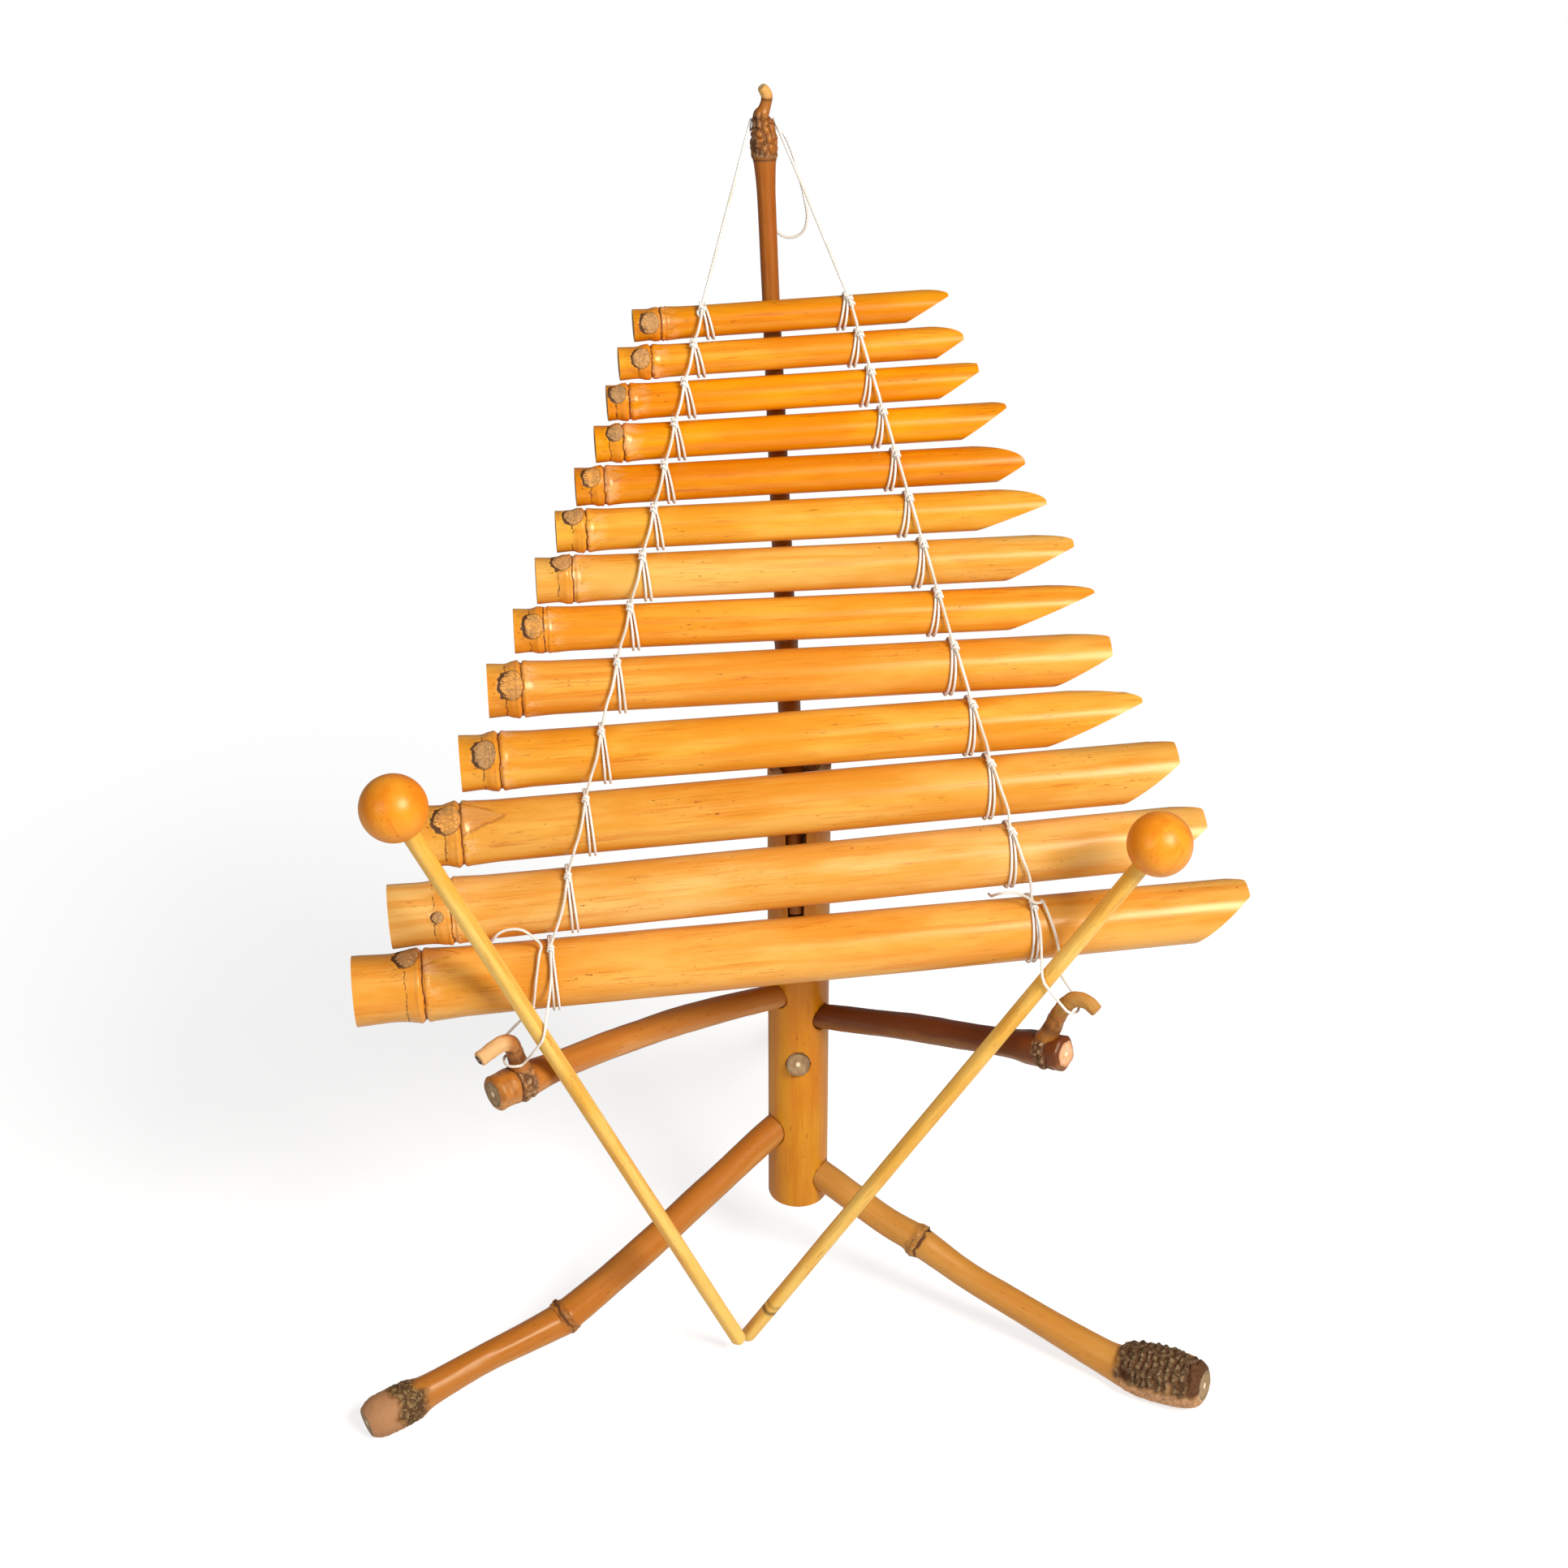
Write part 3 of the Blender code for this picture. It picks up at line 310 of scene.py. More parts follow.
def skin_material(name, colour, seed=0.0, roughness=0.27, fibre=1.0, bark=GREY_BARK, under=None, pale=None,
                  look=None, ridge=0.0):
    """Lacquered bamboo skin: long fibres, cloudy tone, dark flecks, and the marks that its mesh carries."""
    made = bpy.data.materials.new(name)
    made.use_nodes = True
    graph = Graph(made.node_tree)
    shader = made.node_tree.nodes["Principled BSDF"]
    place = graph.node("ShaderNodeAttribute", {"attribute_name": "grain"}).outputs["Vector"]
    marks = graph.node("ShaderNodeAttribute", {"attribute_name": "marks"}).outputs["Vector"]
    split = graph.node("ShaderNodeSeparateXYZ", (), {0: marks})
    dark, barky, light = (split.outputs[i] for i in range(3))
    streak = graph.noise(place, (55.0, 1500.0, 1500.0), 4.0, 0.6, seed)
    band = graph.noise(place, (10.0, 240.0, 240.0), 3.0, 0.5, seed + 3.1)
    cloud = graph.noise(place, (22.0, 75.0, 75.0), 3.0, 0.5, seed + 7.7)
    fleck = graph.noise(place, (330.0, 1500.0, 1500.0), 2.0, 0.5, seed + 11.3)
    patch = graph.noise(place, (40.0, 130.0, 130.0), 2.0, 0.5, seed + 17.9)
    grit = graph.noise(place, (1500.0, 1500.0, 1500.0), 4.0, 0.7, seed + 23.0)
    if under:
        split = graph.node("ShaderNodeSeparateXYZ", (), {0: place})
        low = graph.maths("ADD", graph.maths("MULTIPLY", split.outputs[2], -1.0 / UNDER_SPREAD),
                          graph.maths("MULTIPLY", graph.maths("SUBTRACT", patch, 0.5), 2.2))
        shifted = graph.mix(graph.ramp(low, -0.25, 0.45), rgba(colour), rgba(under))
    tone = graph.mix(graph.ramp(cloud, 0.36, 0.64), tinted(colour, 0.94, 0.84, 0.62), tinted(colour, 1.04, 1.16, 1.60))
    tone = graph.mix(graph.maths("MULTIPLY", graph.ramp(band, 0.50, 0.64), 0.7 * fibre), tone,
                     tinted(colour, 0.92, 0.74, 0.50))
    stain = graph.maths("MULTIPLY", graph.ramp(streak, 0.54, 0.68), graph.ramp(patch, 0.38, 0.60))
    tone = graph.mix(graph.maths("MULTIPLY", stain, 0.62 * fibre), tone, tinted(colour, 0.70, 0.42, 0.30))
    tone = graph.mix(graph.maths("MULTIPLY", graph.ramp(streak, 0.45, 0.32), 0.32 * fibre), tone,
                     tinted(colour, 1.06, 1.24, 1.9))
    if under:
        tone = graph.mix(0.5, tone, shifted)
    speck = graph.maths("MULTIPLY", graph.ramp(fleck, 0.67, 0.72), graph.ramp(patch, 0.46, 0.60))
    tone = graph.mix(graph.maths("MULTIPLY", speck, 0.75), tone, tinted(colour, 0.30, 0.16, 0.15))
    coarse = graph.noise(place, (380.0, 520.0, 520.0), 4.0, 0.7, seed + 29.0)
    rough_bark = graph.mix(graph.ramp(coarse, 0.36, 0.64), rgba(bark[0]), rgba(bark[1]))
    rough_bark = graph.mix(graph.maths("MULTIPLY", graph.ramp(grit, 0.56, 0.40), 0.55), rough_bark, rgba(bark[0], 0.5))
    shaken = graph.node("ShaderNodeVectorMath", {"operation": "ADD"}, {0: place})
    jitter = graph.node("ShaderNodeCombineXYZ", (), {i: graph.maths("MULTIPLY", coarse, 2.2 * MM) for i in range(3)})
    graph.put(shaken.inputs[1], jitter.outputs[0])
    gap = graph.ramp(graph.cracks(shaken.outputs[0], (300.0, 330.0, 330.0), seed), 0.13, 0.03)
    rough_bark = graph.mix(graph.maths("MULTIPLY", gap, 0.85), rough_bark, rgba(DARK_WOOD[:3], 0.5))
    tone = graph.mix(light, tone, rgba(pale or (colour[0] * 1.05, colour[1] * 1.45, colour[2] * 3.5)))
    tone = graph.mix(barky, tone, rough_bark)
    loose = graph.maths("MULTIPLY", graph.maths("SUBTRACT", grit, 0.5), graph.maths("MULTIPLY", dark, 1.1))
    worn = graph.maths("ADD", graph.maths("MULTIPLY", dark, 1.25), loose, True)
    tone = graph.mix(worn, tone, DARK_WOOD)
    matte = graph.maths("MAXIMUM", barky, dark)
    matte = graph.maths("MAXIMUM", matte, light)
    if look:
        tone, scarred = key_end(graph, tone, place, grit, look, ridge, seed)
        matte = graph.maths("MAXIMUM", matte, scarred)
    graph.put(shader.inputs["Base Color"], tone)
    shine = graph.maths("ADD", roughness, graph.maths("MULTIPLY", graph.maths("SUBTRACT", cloud, 0.5), 0.16))
    shine = graph.maths("ADD", shine, graph.maths("MULTIPLY", matte, 0.4), True)
    graph.put(shader.inputs["Roughness"], shine)
    height = graph.maths("ADD", graph.maths("MULTIPLY", streak, 0.35),
                         graph.maths("MULTIPLY", graph.maths("MULTIPLY", grit, matte), 1.6))
    height = graph.maths("SUBTRACT", height, graph.maths("MULTIPLY", graph.maths("MULTIPLY", gap, barky), 1.5))
    bump = graph.node("ShaderNodeBump", (), {"Strength": 0.35, "Distance": 0.25 * MM, "Height": height})
    graph.put(shader.inputs["Normal"], bump.outputs[0])
    shader.inputs["Specular IOR Level"].default_value = 0.5
    shader.inputs["Specular Tint"].default_value = LACQUER
    return made


def key_end(graph, tone, place, grit, look, ridge, seed):
    """A key's joint: scar with its cracked rim, joint line, ridge before it with a painted highlight, bloom and sheath
    trace after it.
    """
    spot = graph.node("ShaderNodeAttribute", {"attribute_name": "spot"}).outputs["Vector"]
    split = graph.node("ShaderNodeSeparateXYZ", (), {0: spot})
    along, up, past = (split.outputs[i] for i in range(3))
    wave = graph.maths("SUBTRACT", graph.noise(place, (430.0, 430.0, 430.0), 3.0, 0.6, seed + 31.0), 0.5)
    coarse = graph.noise(place, (150.0, 260.0, 260.0), 2.0, 0.5, seed + 37.0)
    far = graph.maths("SQRT", graph.maths("ADD", graph.maths("MULTIPLY", along, along), graph.maths("MULTIPLY", up, up)))
    left = graph.ramp(graph.maths("DIVIDE", graph.maths("MULTIPLY", along, -1.0), graph.maths("MAXIMUM", far, 0.05)),
                      -0.1, 0.7)
    edge = graph.maths("ADD", far, graph.maths("MULTIPLY", wave, graph.maths("ADD", 0.20, graph.maths("MULTIPLY", left, 0.55))))
    disc = graph.ramp(edge, 1.04, 0.96)

    past_wave = graph.maths("ADD", past, graph.maths("MULTIPLY", wave, 0.9))
    whole = graph.ramp(coarse, 0.34, 0.44)
    after = graph.maths("MULTIPLY", graph.ramp(past, 0.0, 0.3), graph.ramp(past, 8.5, 0.5))
    bloom = graph.maths("MULTIPLY", after, graph.ramp(coarse, 0.44, 0.62))
    tone = graph.mix(graph.maths("MULTIPLY", bloom, 0.62), tone, (0.90, 0.50, 0.23, 1.0))
    grains = graph.noise(place, (900.0, 1300.0, 1300.0), 2.0, 0.5, seed + 41.0)
    near = graph.maths("MAXIMUM", after, graph.ramp(far, 2.3, 1.2))
    dots = graph.maths("MULTIPLY", graph.ramp(grains, 0.62, 0.68), near)
    tone = graph.mix(graph.maths("MULTIPLY", dots, 0.72), tone, (0.30, 0.075, 0.012, 1.0))

    reach = graph.maths("DIVIDE", graph.maths("SUBTRACT", along, 0.9), 3.4)
    inside = graph.maths("MULTIPLY", graph.ramp(reach, -0.02, 0.04), graph.ramp(reach, 1.0, 0.9))
    point = graph.maths("SUBTRACT", graph.maths("ABSOLUTE", graph.maths("ADD", up, graph.maths("MULTIPLY", wave, 0.4))),
                        graph.maths("MULTIPLY", graph.maths("SUBTRACT", 1.0, reach), 1.15))
    trace = graph.maths("MULTIPLY", graph.ramp(point, 0.05, -0.35), inside)
    tone = graph.mix(graph.maths("MULTIPLY", trace, 0.55 * look.trace), tone, (0.60, 0.27, 0.085, 1.0))
    crease = graph.maths("MULTIPLY", graph.line(point, 0.13), inside)
    crease = graph.maths("MULTIPLY", crease, whole)
    tone = graph.mix(graph.maths("MULTIPLY", crease, 0.60 * look.trace), tone, (0.36, 0.12, 0.025, 1.0))

    # Painted highlight: the raised ridge before the joint is tinted a lighter, more orange tone where light would catch
    # it.
    before = graph.maths("ADD", graph.maths("ADD", past, ridge), graph.maths("MULTIPLY", wave, 2.6))
    ridge_highlight = graph.maths("MULTIPLY", graph.ramp(before, 0.0, 1.2), graph.ramp(past, -0.1, -0.7))
    tone = graph.mix(graph.maths("MULTIPLY", ridge_highlight, 0.45), tone, (0.78, 0.27, 0.020, 1.0))
    low_line = graph.maths("MULTIPLY", graph.line(before, 0.34), graph.ramp(coarse, 0.62, 0.50))
    tone = graph.mix(graph.maths("MULTIPLY", low_line, 0.85), tone, (0.16, 0.040, 0.008, 1.0))
    joint = graph.maths("MULTIPLY", graph.line(past_wave, 0.36), graph.maths("ADD", 0.45, graph.maths("MULTIPLY", whole, 0.5)))
    tone = graph.mix(joint, tone, (0.14, 0.028, 0.006, 1.0))

    mottled = graph.mix(graph.ramp(grit, 0.38, 0.60), rgba(look.scar, 0.72), rgba(look.scar, 1.28))
    mottled = graph.mix(graph.maths("MULTIPLY", graph.ramp(coarse, 0.45, 0.60), 0.4), mottled, (0.33, 0.19, 0.080, 1.0))
    turn = graph.maths("ARCTAN2", up, graph.maths("MULTIPLY", along, -1.0))
    spoke = graph.node("ShaderNodeCombineXYZ", (), {0: graph.maths("MULTIPLY", turn, 2.4), 1: graph.maths("MULTIPLY", far, 0.7)})
    rays = graph.noise(spoke.outputs[0], (1.0, 1.0, 1.0), 3.0, 0.6, seed + 43.0)
    split_rays = graph.maths("MULTIPLY", graph.line(graph.maths("SUBTRACT", rays, 0.5), 0.035), graph.ramp(far, 0.30, 0.75))
    split_rays = graph.maths("MULTIPLY", split_rays, graph.maths("ADD", 0.15, graph.maths("MULTIPLY", left, 0.75)))
    mottled = graph.mix(split_rays, mottled, (0.10, 0.030, 0.008, 1.0))
    tone = graph.mix(disc, tone, mottled)
    width = graph.maths("ADD", 0.07, graph.maths("MULTIPLY", left, 0.13))
    rim = graph.ramp(graph.maths("DIVIDE", graph.maths("ABSOLUTE", graph.maths("SUBTRACT", edge, 1.0)), width), 1.0, 0.45)
    rim = graph.maths("MULTIPLY", rim, graph.maths("ADD", 0.50, graph.maths("MULTIPLY", left, 0.46)))
    tone = graph.mix(rim, tone, (0.055, 0.015, 0.004, 1.0))
    return tone, graph.maths("MAXIMUM", graph.maths("MAXIMUM", disc, rim), joint)


def cut_material(name, colour, dark, seed=0.0):
    """A sawn end: pores and fibres end on, with stain in them."""
    made = bpy.data.materials.new(name)
    made.use_nodes = True
    graph = Graph(made.node_tree)
    shader = made.node_tree.nodes["Principled BSDF"]
    place = graph.node("ShaderNodeAttribute", {"attribute_name": "grain"}).outputs["Vector"]
    marks = graph.node("ShaderNodeAttribute", {"attribute_name": "marks"}).outputs["Vector"]
    split = graph.node("ShaderNodeSeparateXYZ", (), {0: marks})
    pores = graph.noise(place, (300.0, 2600.0, 2600.0), 3.0, 0.7, seed)
    cloud = graph.noise(place, (200.0, 320.0, 320.0), 3.0, 0.6, seed + 4.0)
    tone = graph.mix(graph.ramp(cloud, 0.35, 0.65), rgba(colour), rgba(dark, 1.4))
    tone = graph.mix(graph.maths("MULTIPLY", graph.ramp(pores, 0.52, 0.68), 0.7), tone, rgba(dark))
    tone = graph.mix(split.outputs[2], tone, (0.95, 0.80, 0.52, 1.0))
    tone = graph.mix(split.outputs[0], tone, rgba(dark, 0.35))
    graph.put(shader.inputs["Base Color"], tone)
    shader.inputs["Roughness"].default_value = 0.62
    bump = graph.node("ShaderNodeBump", (), {"Strength": 0.4, "Distance": 0.2 * MM, "Height": pores})
    graph.put(shader.inputs["Normal"], bump.outputs[0])
    return made


def cotton_material():
    made = bpy.data.materials.new("cotton")
    made.use_nodes = True
    graph = Graph(made.node_tree)
    shader = made.node_tree.nodes["Principled BSDF"]
    place = graph.node("ShaderNodeAttribute", {"attribute_name": "grain"}).outputs["Vector"]
    fuzz = graph.noise(place, (2400.0, 2400.0, 2400.0), 3.0, 0.6, 1.0)
    soil = graph.noise(place, (60.0, 300.0, 300.0), 3.0, 0.6, 5.0)
    tone = graph.mix(graph.ramp(soil, 0.42, 0.70), (0.88, 0.85, 0.79, 1.0), (0.72, 0.64, 0.53, 1.0))
    tone = graph.mix(graph.maths("MULTIPLY", graph.ramp(fuzz, 0.5, 0.7), 0.25), tone, (0.60, 0.53, 0.45, 1.0))
    graph.put(shader.inputs["Base Color"], tone)
    shader.inputs["Roughness"].default_value = 0.85
    shader.inputs["Sheen Weight"].default_value = 0.25
    bump = graph.node("ShaderNodeBump", (), {"Strength": 0.3, "Distance": 0.1 * MM, "Height": fuzz})
    graph.put(shader.inputs["Normal"], bump.outputs[0])
    return made


# Meshes in the making
class Skin:
    """Points with their grain place and marks, and faces with the number of their material."""

    def __init__(self):
        self.points, self.faces, self.stuff = [], [], []
        self.rows = {"grain": [], "marks": [], "spot": []}

    def point(self, place, grain, marks=(0.0, 0.0, 0.0), spot=(9.0, 9.0, 90.0)):
        self.points.append(place)
        for word, row in (("grain", grain), ("marks", marks), ("spot", spot)):
            self.rows[word].append(row)
        return len(self.points) - 1

    def band(self, near, far, stuff=0):
        count = len(near)
        for i in range(count):
            j = (i + 1) % count
            self.faces.append((near[i], near[j], far[j], far[i]))
            self.stuff.append(stuff)

    def fan(self, loop, centre, stuff=0):
        for i in range(len(loop)):
            self.faces.append((loop[i], loop[(i + 1) % len(loop)], centre))
            self.stuff.append(stuff)

    def done(self, name, body, materials, slot, replaced=(), sharp=40.0):
        mesh = bpy.data.meshes.new(name)
        mesh.from_pydata(self.points, [], self.faces)
        mesh.polygons.foreach_set("material_index", self.stuff)
        for word, rows in self.rows.items():
            attribute = mesh.attributes.new(word, "FLOAT_VECTOR", "POINT")
            attribute.data.foreach_set("vector", [value for row in rows for value in row])
        mesh.shade_smooth()
        if sharp:
            mesh.set_sharp_from_angle(angle=math.radians(sharp))
        for finish in materials:
            mesh.materials.append(finish)
        made = bpy.data.objects.new(name, mesh)
        bpy.context.scene.collection.objects.link(made)
        if body:
            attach(made, body)
        if replaced:
            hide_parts(*replaced)
        return made


def smooth_path(rows, step):
    """(place, radius) pairs on a Catmull-Rom curve through the given ones, about a step apart."""
    rows = [Vector((*place, radius)) for place, radius in rows]
    rows = [rows[0] * 2.0 - rows[1]] + rows + [rows[-1] * 2.0 - rows[-2]]
    out = []
    for a, b, c, d in zip(rows, rows[1:], rows[2:], rows[3:]):
        count = max(1, round((c - b).length / step))
        for k in range(count):
            t = k / count
            out.append(0.5 * (2.0 * b + (c - a) * t + (2.0 * a - 5.0 * b + 4.0 * c - d) * t * t
                              + (3.0 * b - a - 3.0 * c + d) * t ** 3))
    out.append(rows[-2])
    return [(Vector(row[:3]), row[3]) for row in out]


def carried(path):
    """The side and rise vectors along a path, turned as little as possible, and the reach along it."""
    places = [place for place, _ in path]
    first = (places[1] - places[0]).normalized()
    side = first.cross(Vector((0.0, 0.0, 1.0)))
    if side.length < 0.2:
        side = first.cross(Vector((0.0, 1.0, 0.0)))
    rows = []
    reach = 0.0
    for i, place in enumerate(places):
        ahead = places[min(i + 1, len(places) - 1)]
        behind = places[max(i - 1, 0)]
        along = (ahead - behind).normalized()
        side = (side - along * side.dot(along)).normalized()
        rows.append((side, side.cross(along), reach))
        reach += (ahead - place).length
    return rows


def add_cord(skin, rows, lanes, diameter, caps=(True, True)):
    """Add a twisted cord along fine rows to a skin."""
    loops = []
    for place, (side, rise, reach) in zip(rows, lanes):
        loop = []
        for k in range(CORD_SIDES):
            turn = 2.0 * math.pi * k / CORD_SIDES
            size = diameter / 2.0 * (0.89 + 0.11 * math.cos(3.0 * (turn - 2.0 * math.pi * reach / CORD_LAY)))
            offset = side * (size * math.cos(turn)) + rise * (size * math.sin(turn))
            loop.append(skin.point(place + offset, (reach, size * math.cos(turn), size * math.sin(turn))))
        loops.append(loop)
    for near, far in zip(loops, loops[1:]):
        skin.band(near, far)
    for capped, loop, place in zip(caps, (loops[0], loops[-1]), (rows[0], rows[-1])):
        if capped:
            skin.fan(loop, skin.point(place, (0.0, 0.0, 0.0)))


def lanes_of(rows):
    return carried([(place, 0.0) for place in rows])


def fine(points, step=CORD_STEP):
    return [place for place, _ in smooth_path([(point, 0.0) for point in points], step)]


# The stand's own lines
def radial(angle, reach, height):
    return Vector((math.sin(angle) * reach, -math.cos(angle) * reach, height))


def mast_point(z):
    inner = POST_D / 2.0 - POST_WALL
    rise = z - POST_TOP_Z
    room = inner - MAST_RIM_D / 2.0 - 2.0 * GAP
    y_rim = math.sqrt(room ** 2 - SLOT_X ** 2)
    return Vector((SLOT_X + MAST_DRIFT * max(0.0, rise), y_rim + MAST_LEAN * rise, z))


def arm_point(side, reach):
    arm = ARMS[side]
    free = max(0.0, reach - POST_D / 2.0 - 2.0 * MM)
    return radial(arm.angle, reach, arm.z + arm.rise * reach - arm.bow * free ** 2)


def hook_path(side):
    angle = ARMS[side].angle
    root_reach = ARMS[side].reach - 15.0 * MM
    root = arm_point(side, root_reach)
    if side < 0:
        steps = ((0.0, 0.0, 3.8), (3.2, 8.6, 3.4), (4.6, 14.8, 3.1), (6.6, 18.9, 3.1), (11.2, 20.2, 2.9),
                 (20.0, 18.0, 2.7))
    else:
        steps = ((0.0, 0.0, 4.0), (5.4, 9.5, 3.6), (10.2, 17.6, 3.2), (13.4, 24.4, 3.0), (17.2, 28.6, 2.9),
                 (22.2, 29.4, 2.7), (26.6, 27.2, 2.5))
    return [(radial(angle, root_reach + out * MM, root.z + up * MM), size * MM) for out, up, size in steps]


def hook_seat(side):
    path = hook_path(side)
    low, high = path[-4], path[-3]
    if side < 0:
        low, high = path[1], path[2]
    along = (high[0] - low[0]).normalized()
    return low[0].lerp(high[0], 0.45), max(low[1], high[1]), along


def node_bulge(path, index, length, swell):
    place, radius = path[index]
    along = (path[index + 1][0] - path[index - 1][0]).normalized()
    ridge = [(place - along * length / 2.0, radius * 1.03), (place - along * length / 8.0, radius * swell),
             (place + along * length / 8.0, radius * swell * 0.985), (place + along * length / 2.0, radius * 1.04)]
    return path[:index] + ridge + path[index + 1:]


def limb(name, path, finish, cut, replaced, step=0.5 * MM, sides=56, shape=None, sole=None, body="stand",
         slot="branch", rounding=0.5 * MM):
    """A branch along a path. Its shape function gives, at a reach and a turn, a lift and the marks."""
    path = [(STAND @ place, radius) for place, radius in smooth_path(path, step)]
    skin = Skin()
    loops = []
    lanes = carried(path)
    total = lanes[-1][2]
    for (place, radius), (side, rise, reach) in zip(path, lanes):
        loop = []
        over = max(0.0, (reach - total + rounding) / rounding)
        for k in range(sides):
            turn = 2.0 * math.pi * k / sides
            lift, marks = shape(reach, turn, total) if shape else (0.0, (0.0, 0.0, 0.0))
            size = (radius + lift) * math.sqrt(1.0 - ROUND_SHARE * over * over)
            spot = place + side * (size * math.cos(turn)) + rise * (size * math.sin(turn))
            if sole is not None and spot.z < sole:
                spot.z = sole
            loop.append(skin.point(spot, (reach, radius * math.cos(turn), radius * math.sin(turn)), marks))
        loops.append(loop)
    for near, far in zip(loops, loops[1:]):
        skin.band(near, far)
    for loop, (place, radius), (side, rise, reach), out in ((loops[0], path[0], lanes[0], -1.0),
                                                              (loops[-1], path[-1], lanes[-1], 1.0)):
        rim = loop
        for share in (0.94, 0.75, 0.5, 0.25, 0.1):
            ring = []
            for k in range(sides):
                spot = place.lerp(skin.points[loop[k]], share)
                if sole is not None:
                    spot.z = max(spot.z, sole)
                turn = 2.0 * math.pi * k / sides
                grain = (reach + out * 0.01, radius * share * math.cos(turn), radius * share * math.sin(turn))
                mark = (0.5 if share > 0.9 else 0.0, 0.0, 1.0 if share < 0.2 else 0.0)
                ring.append(skin.point(spot, grain, mark))
            skin.band(rim, ring, 1)
            rim = ring
        middle = place.copy()
        if sole is not None:
            middle.z = max(middle.z, sole)
        skin.fan(rim, skin.point(middle, (reach + out * 0.01, 0.0, 0.0), (0.0, 0.0, 1.0)), 1)
    return skin.done(name, body, [finish, cut], slot, replaced)


def rough(reach, turn, size, amount, seed):
    """A lump height that closes on itself round a limb."""
    spot = Vector((reach / size, math.cos(turn) * 2.0, math.sin(turn) * 2.0 + seed))
    return noise.noise(spot) * amount


def hump(value, middle, half):
    t = max(0.0, 1.0 - abs(value - middle) / half)
    return t * t * (3.0 - 2.0 * t)


def plates(reach, turn, size, radius, seed):
    """Bark plates that close on themselves round a limb: how high one stands, and 1 in the cracks between them."""
    spot = Vector((reach / size, math.cos(turn) * radius / size, math.sin(turn) * radius / size + seed))
    near, second = noise.voronoi(spot)[0][:2]
    return 0.5 - near, max(0.0, 1.0 - (second - near) * 5.0)


def clamp(value):
    return max(0.0, min(1.0, value))


# A joint in a branch: where it is, how long its crust is, how far that stands out, and how barky it is
Joint = namedtuple("Joint", "at crust height bark")


def branch_shape(seed, joints, amount=0.25 * MM, radius=5.5 * MM, more=None):
    """Gentle lumps, a dark line and a gnarled collar at each joint, and what a limb's own function adds."""

    def shape(reach, turn, total):
        lift = rough(reach, turn, 22.0 * MM, amount, seed) + rough(reach, turn, 5.0 * MM, amount * 0.25, seed + 9.0)
        dark = bark = pale = 0.0
        for joint in joints:
            wave = joint.at + rough(0.0, turn, 1.0, 1.2 * MM, seed + joint.at * 100.0)
            line = hump(reach, wave + joint.crust / 2.0, 0.8 * MM)
            collar = clamp(2.2 * hump(reach, wave, joint.crust / 2.0 + 1.0 * MM))
            high, crack = plates(reach, turn, 3.0 * MM, radius, seed + 3.0)
            dark = max(dark, line, 0.8 * crack * collar * joint.bark)
            bark = max(bark, joint.bark * collar * clamp(0.9 + rough(reach, turn, 3.0 * MM, 0.8, seed + 5.0)))
            lift += collar * joint.height * (0.45 + 0.9 * high - 0.5 * crack) - 0.35 * MM * line
        if more:
            extra, extra_dark, extra_bark, pale = more(reach, turn, total)
            lift += extra
            dark, bark = max(dark, extra_dark), max(bark, extra_bark)
        return lift, (clamp(dark), clamp(bark), clamp(pale))

    return shape


def knob_bark(reach, turn, total):
    """The right leg's root: ringed bark on its upper half, shaved wood with a dark pit below it."""
    share = clamp((reach - total + 36.0 * MM) / (3.0 * MM) + rough(0.0, turn, 1.0, 1.0, 6.0))
    upper = clamp(0.5 + 2.4 * (math.sin(turn) + 0.25 * math.cos(turn) - 0.25) + rough(reach, turn, 4.0 * MM, 1.6, 2.0))
    ring = math.sin(2.0 * math.pi * (reach + rough(reach, turn, 8.0 * MM, 3.0 * MM, 8.0)) / (3.1 * MM))
    high, crack = plates(reach, turn, 2.6 * MM, 9.0 * MM, 4.0)
    fibres = rough(reach * 0.35, turn * 2.0, 1.6 * MM, 0.5, 12.0)
    pit = clamp(1.6 - math.hypot((reach - total + 30.0 * MM) / (2.4 * MM), ((turn - 0.25) * 9.0 * MM) / (2.4 * MM)))
    end = clamp((reach - total + 5.0 * MM) / (1.5 * MM)) * upper
    lift = share * (upper * (0.42 * MM * ring + 0.9 * MM * high - 0.5 * MM * crack)
                    + (1.0 - upper) * (0.7 * MM * fibres - 0.5 * MM * crack * clamp(high * 3.0)) - 1.8 * MM * pit)
    dark = share * max(pit, end * 0.7, upper * clamp(-ring * 0.5 + crack * 0.5), (1.0 - upper) * clamp(crack * 0.55 - 0.1))
    return lift, dark, share * upper, share * (1.0 - upper)


def root_bark(reach, turn, total):
    """The left leg's root: a patch of rough bark, then a rounded matte end."""
    share = clamp((reach - total + 24.0 * MM) / (4.0 * MM) + rough(0.0, turn, 1.0, 1.6, 5.0))
    tip = clamp((reach - total + 13.0 * MM) / (3.0 * MM) + rough(0.0, turn, 1.0, 1.4, 7.0))
    high, crack = plates(reach, turn, 2.0 * MM, 8.0 * MM, 9.0)
    lift = share * (0.6 * MM * high - 0.4 * MM * crack) * (1.0 - 0.6 * tip) + 0.3 * MM * share
    dark = share * (1.0 - tip) * clamp(crack * 0.9 - 0.1)
    return lift, dark, share * (1.0 - tip), 0.85 * tip


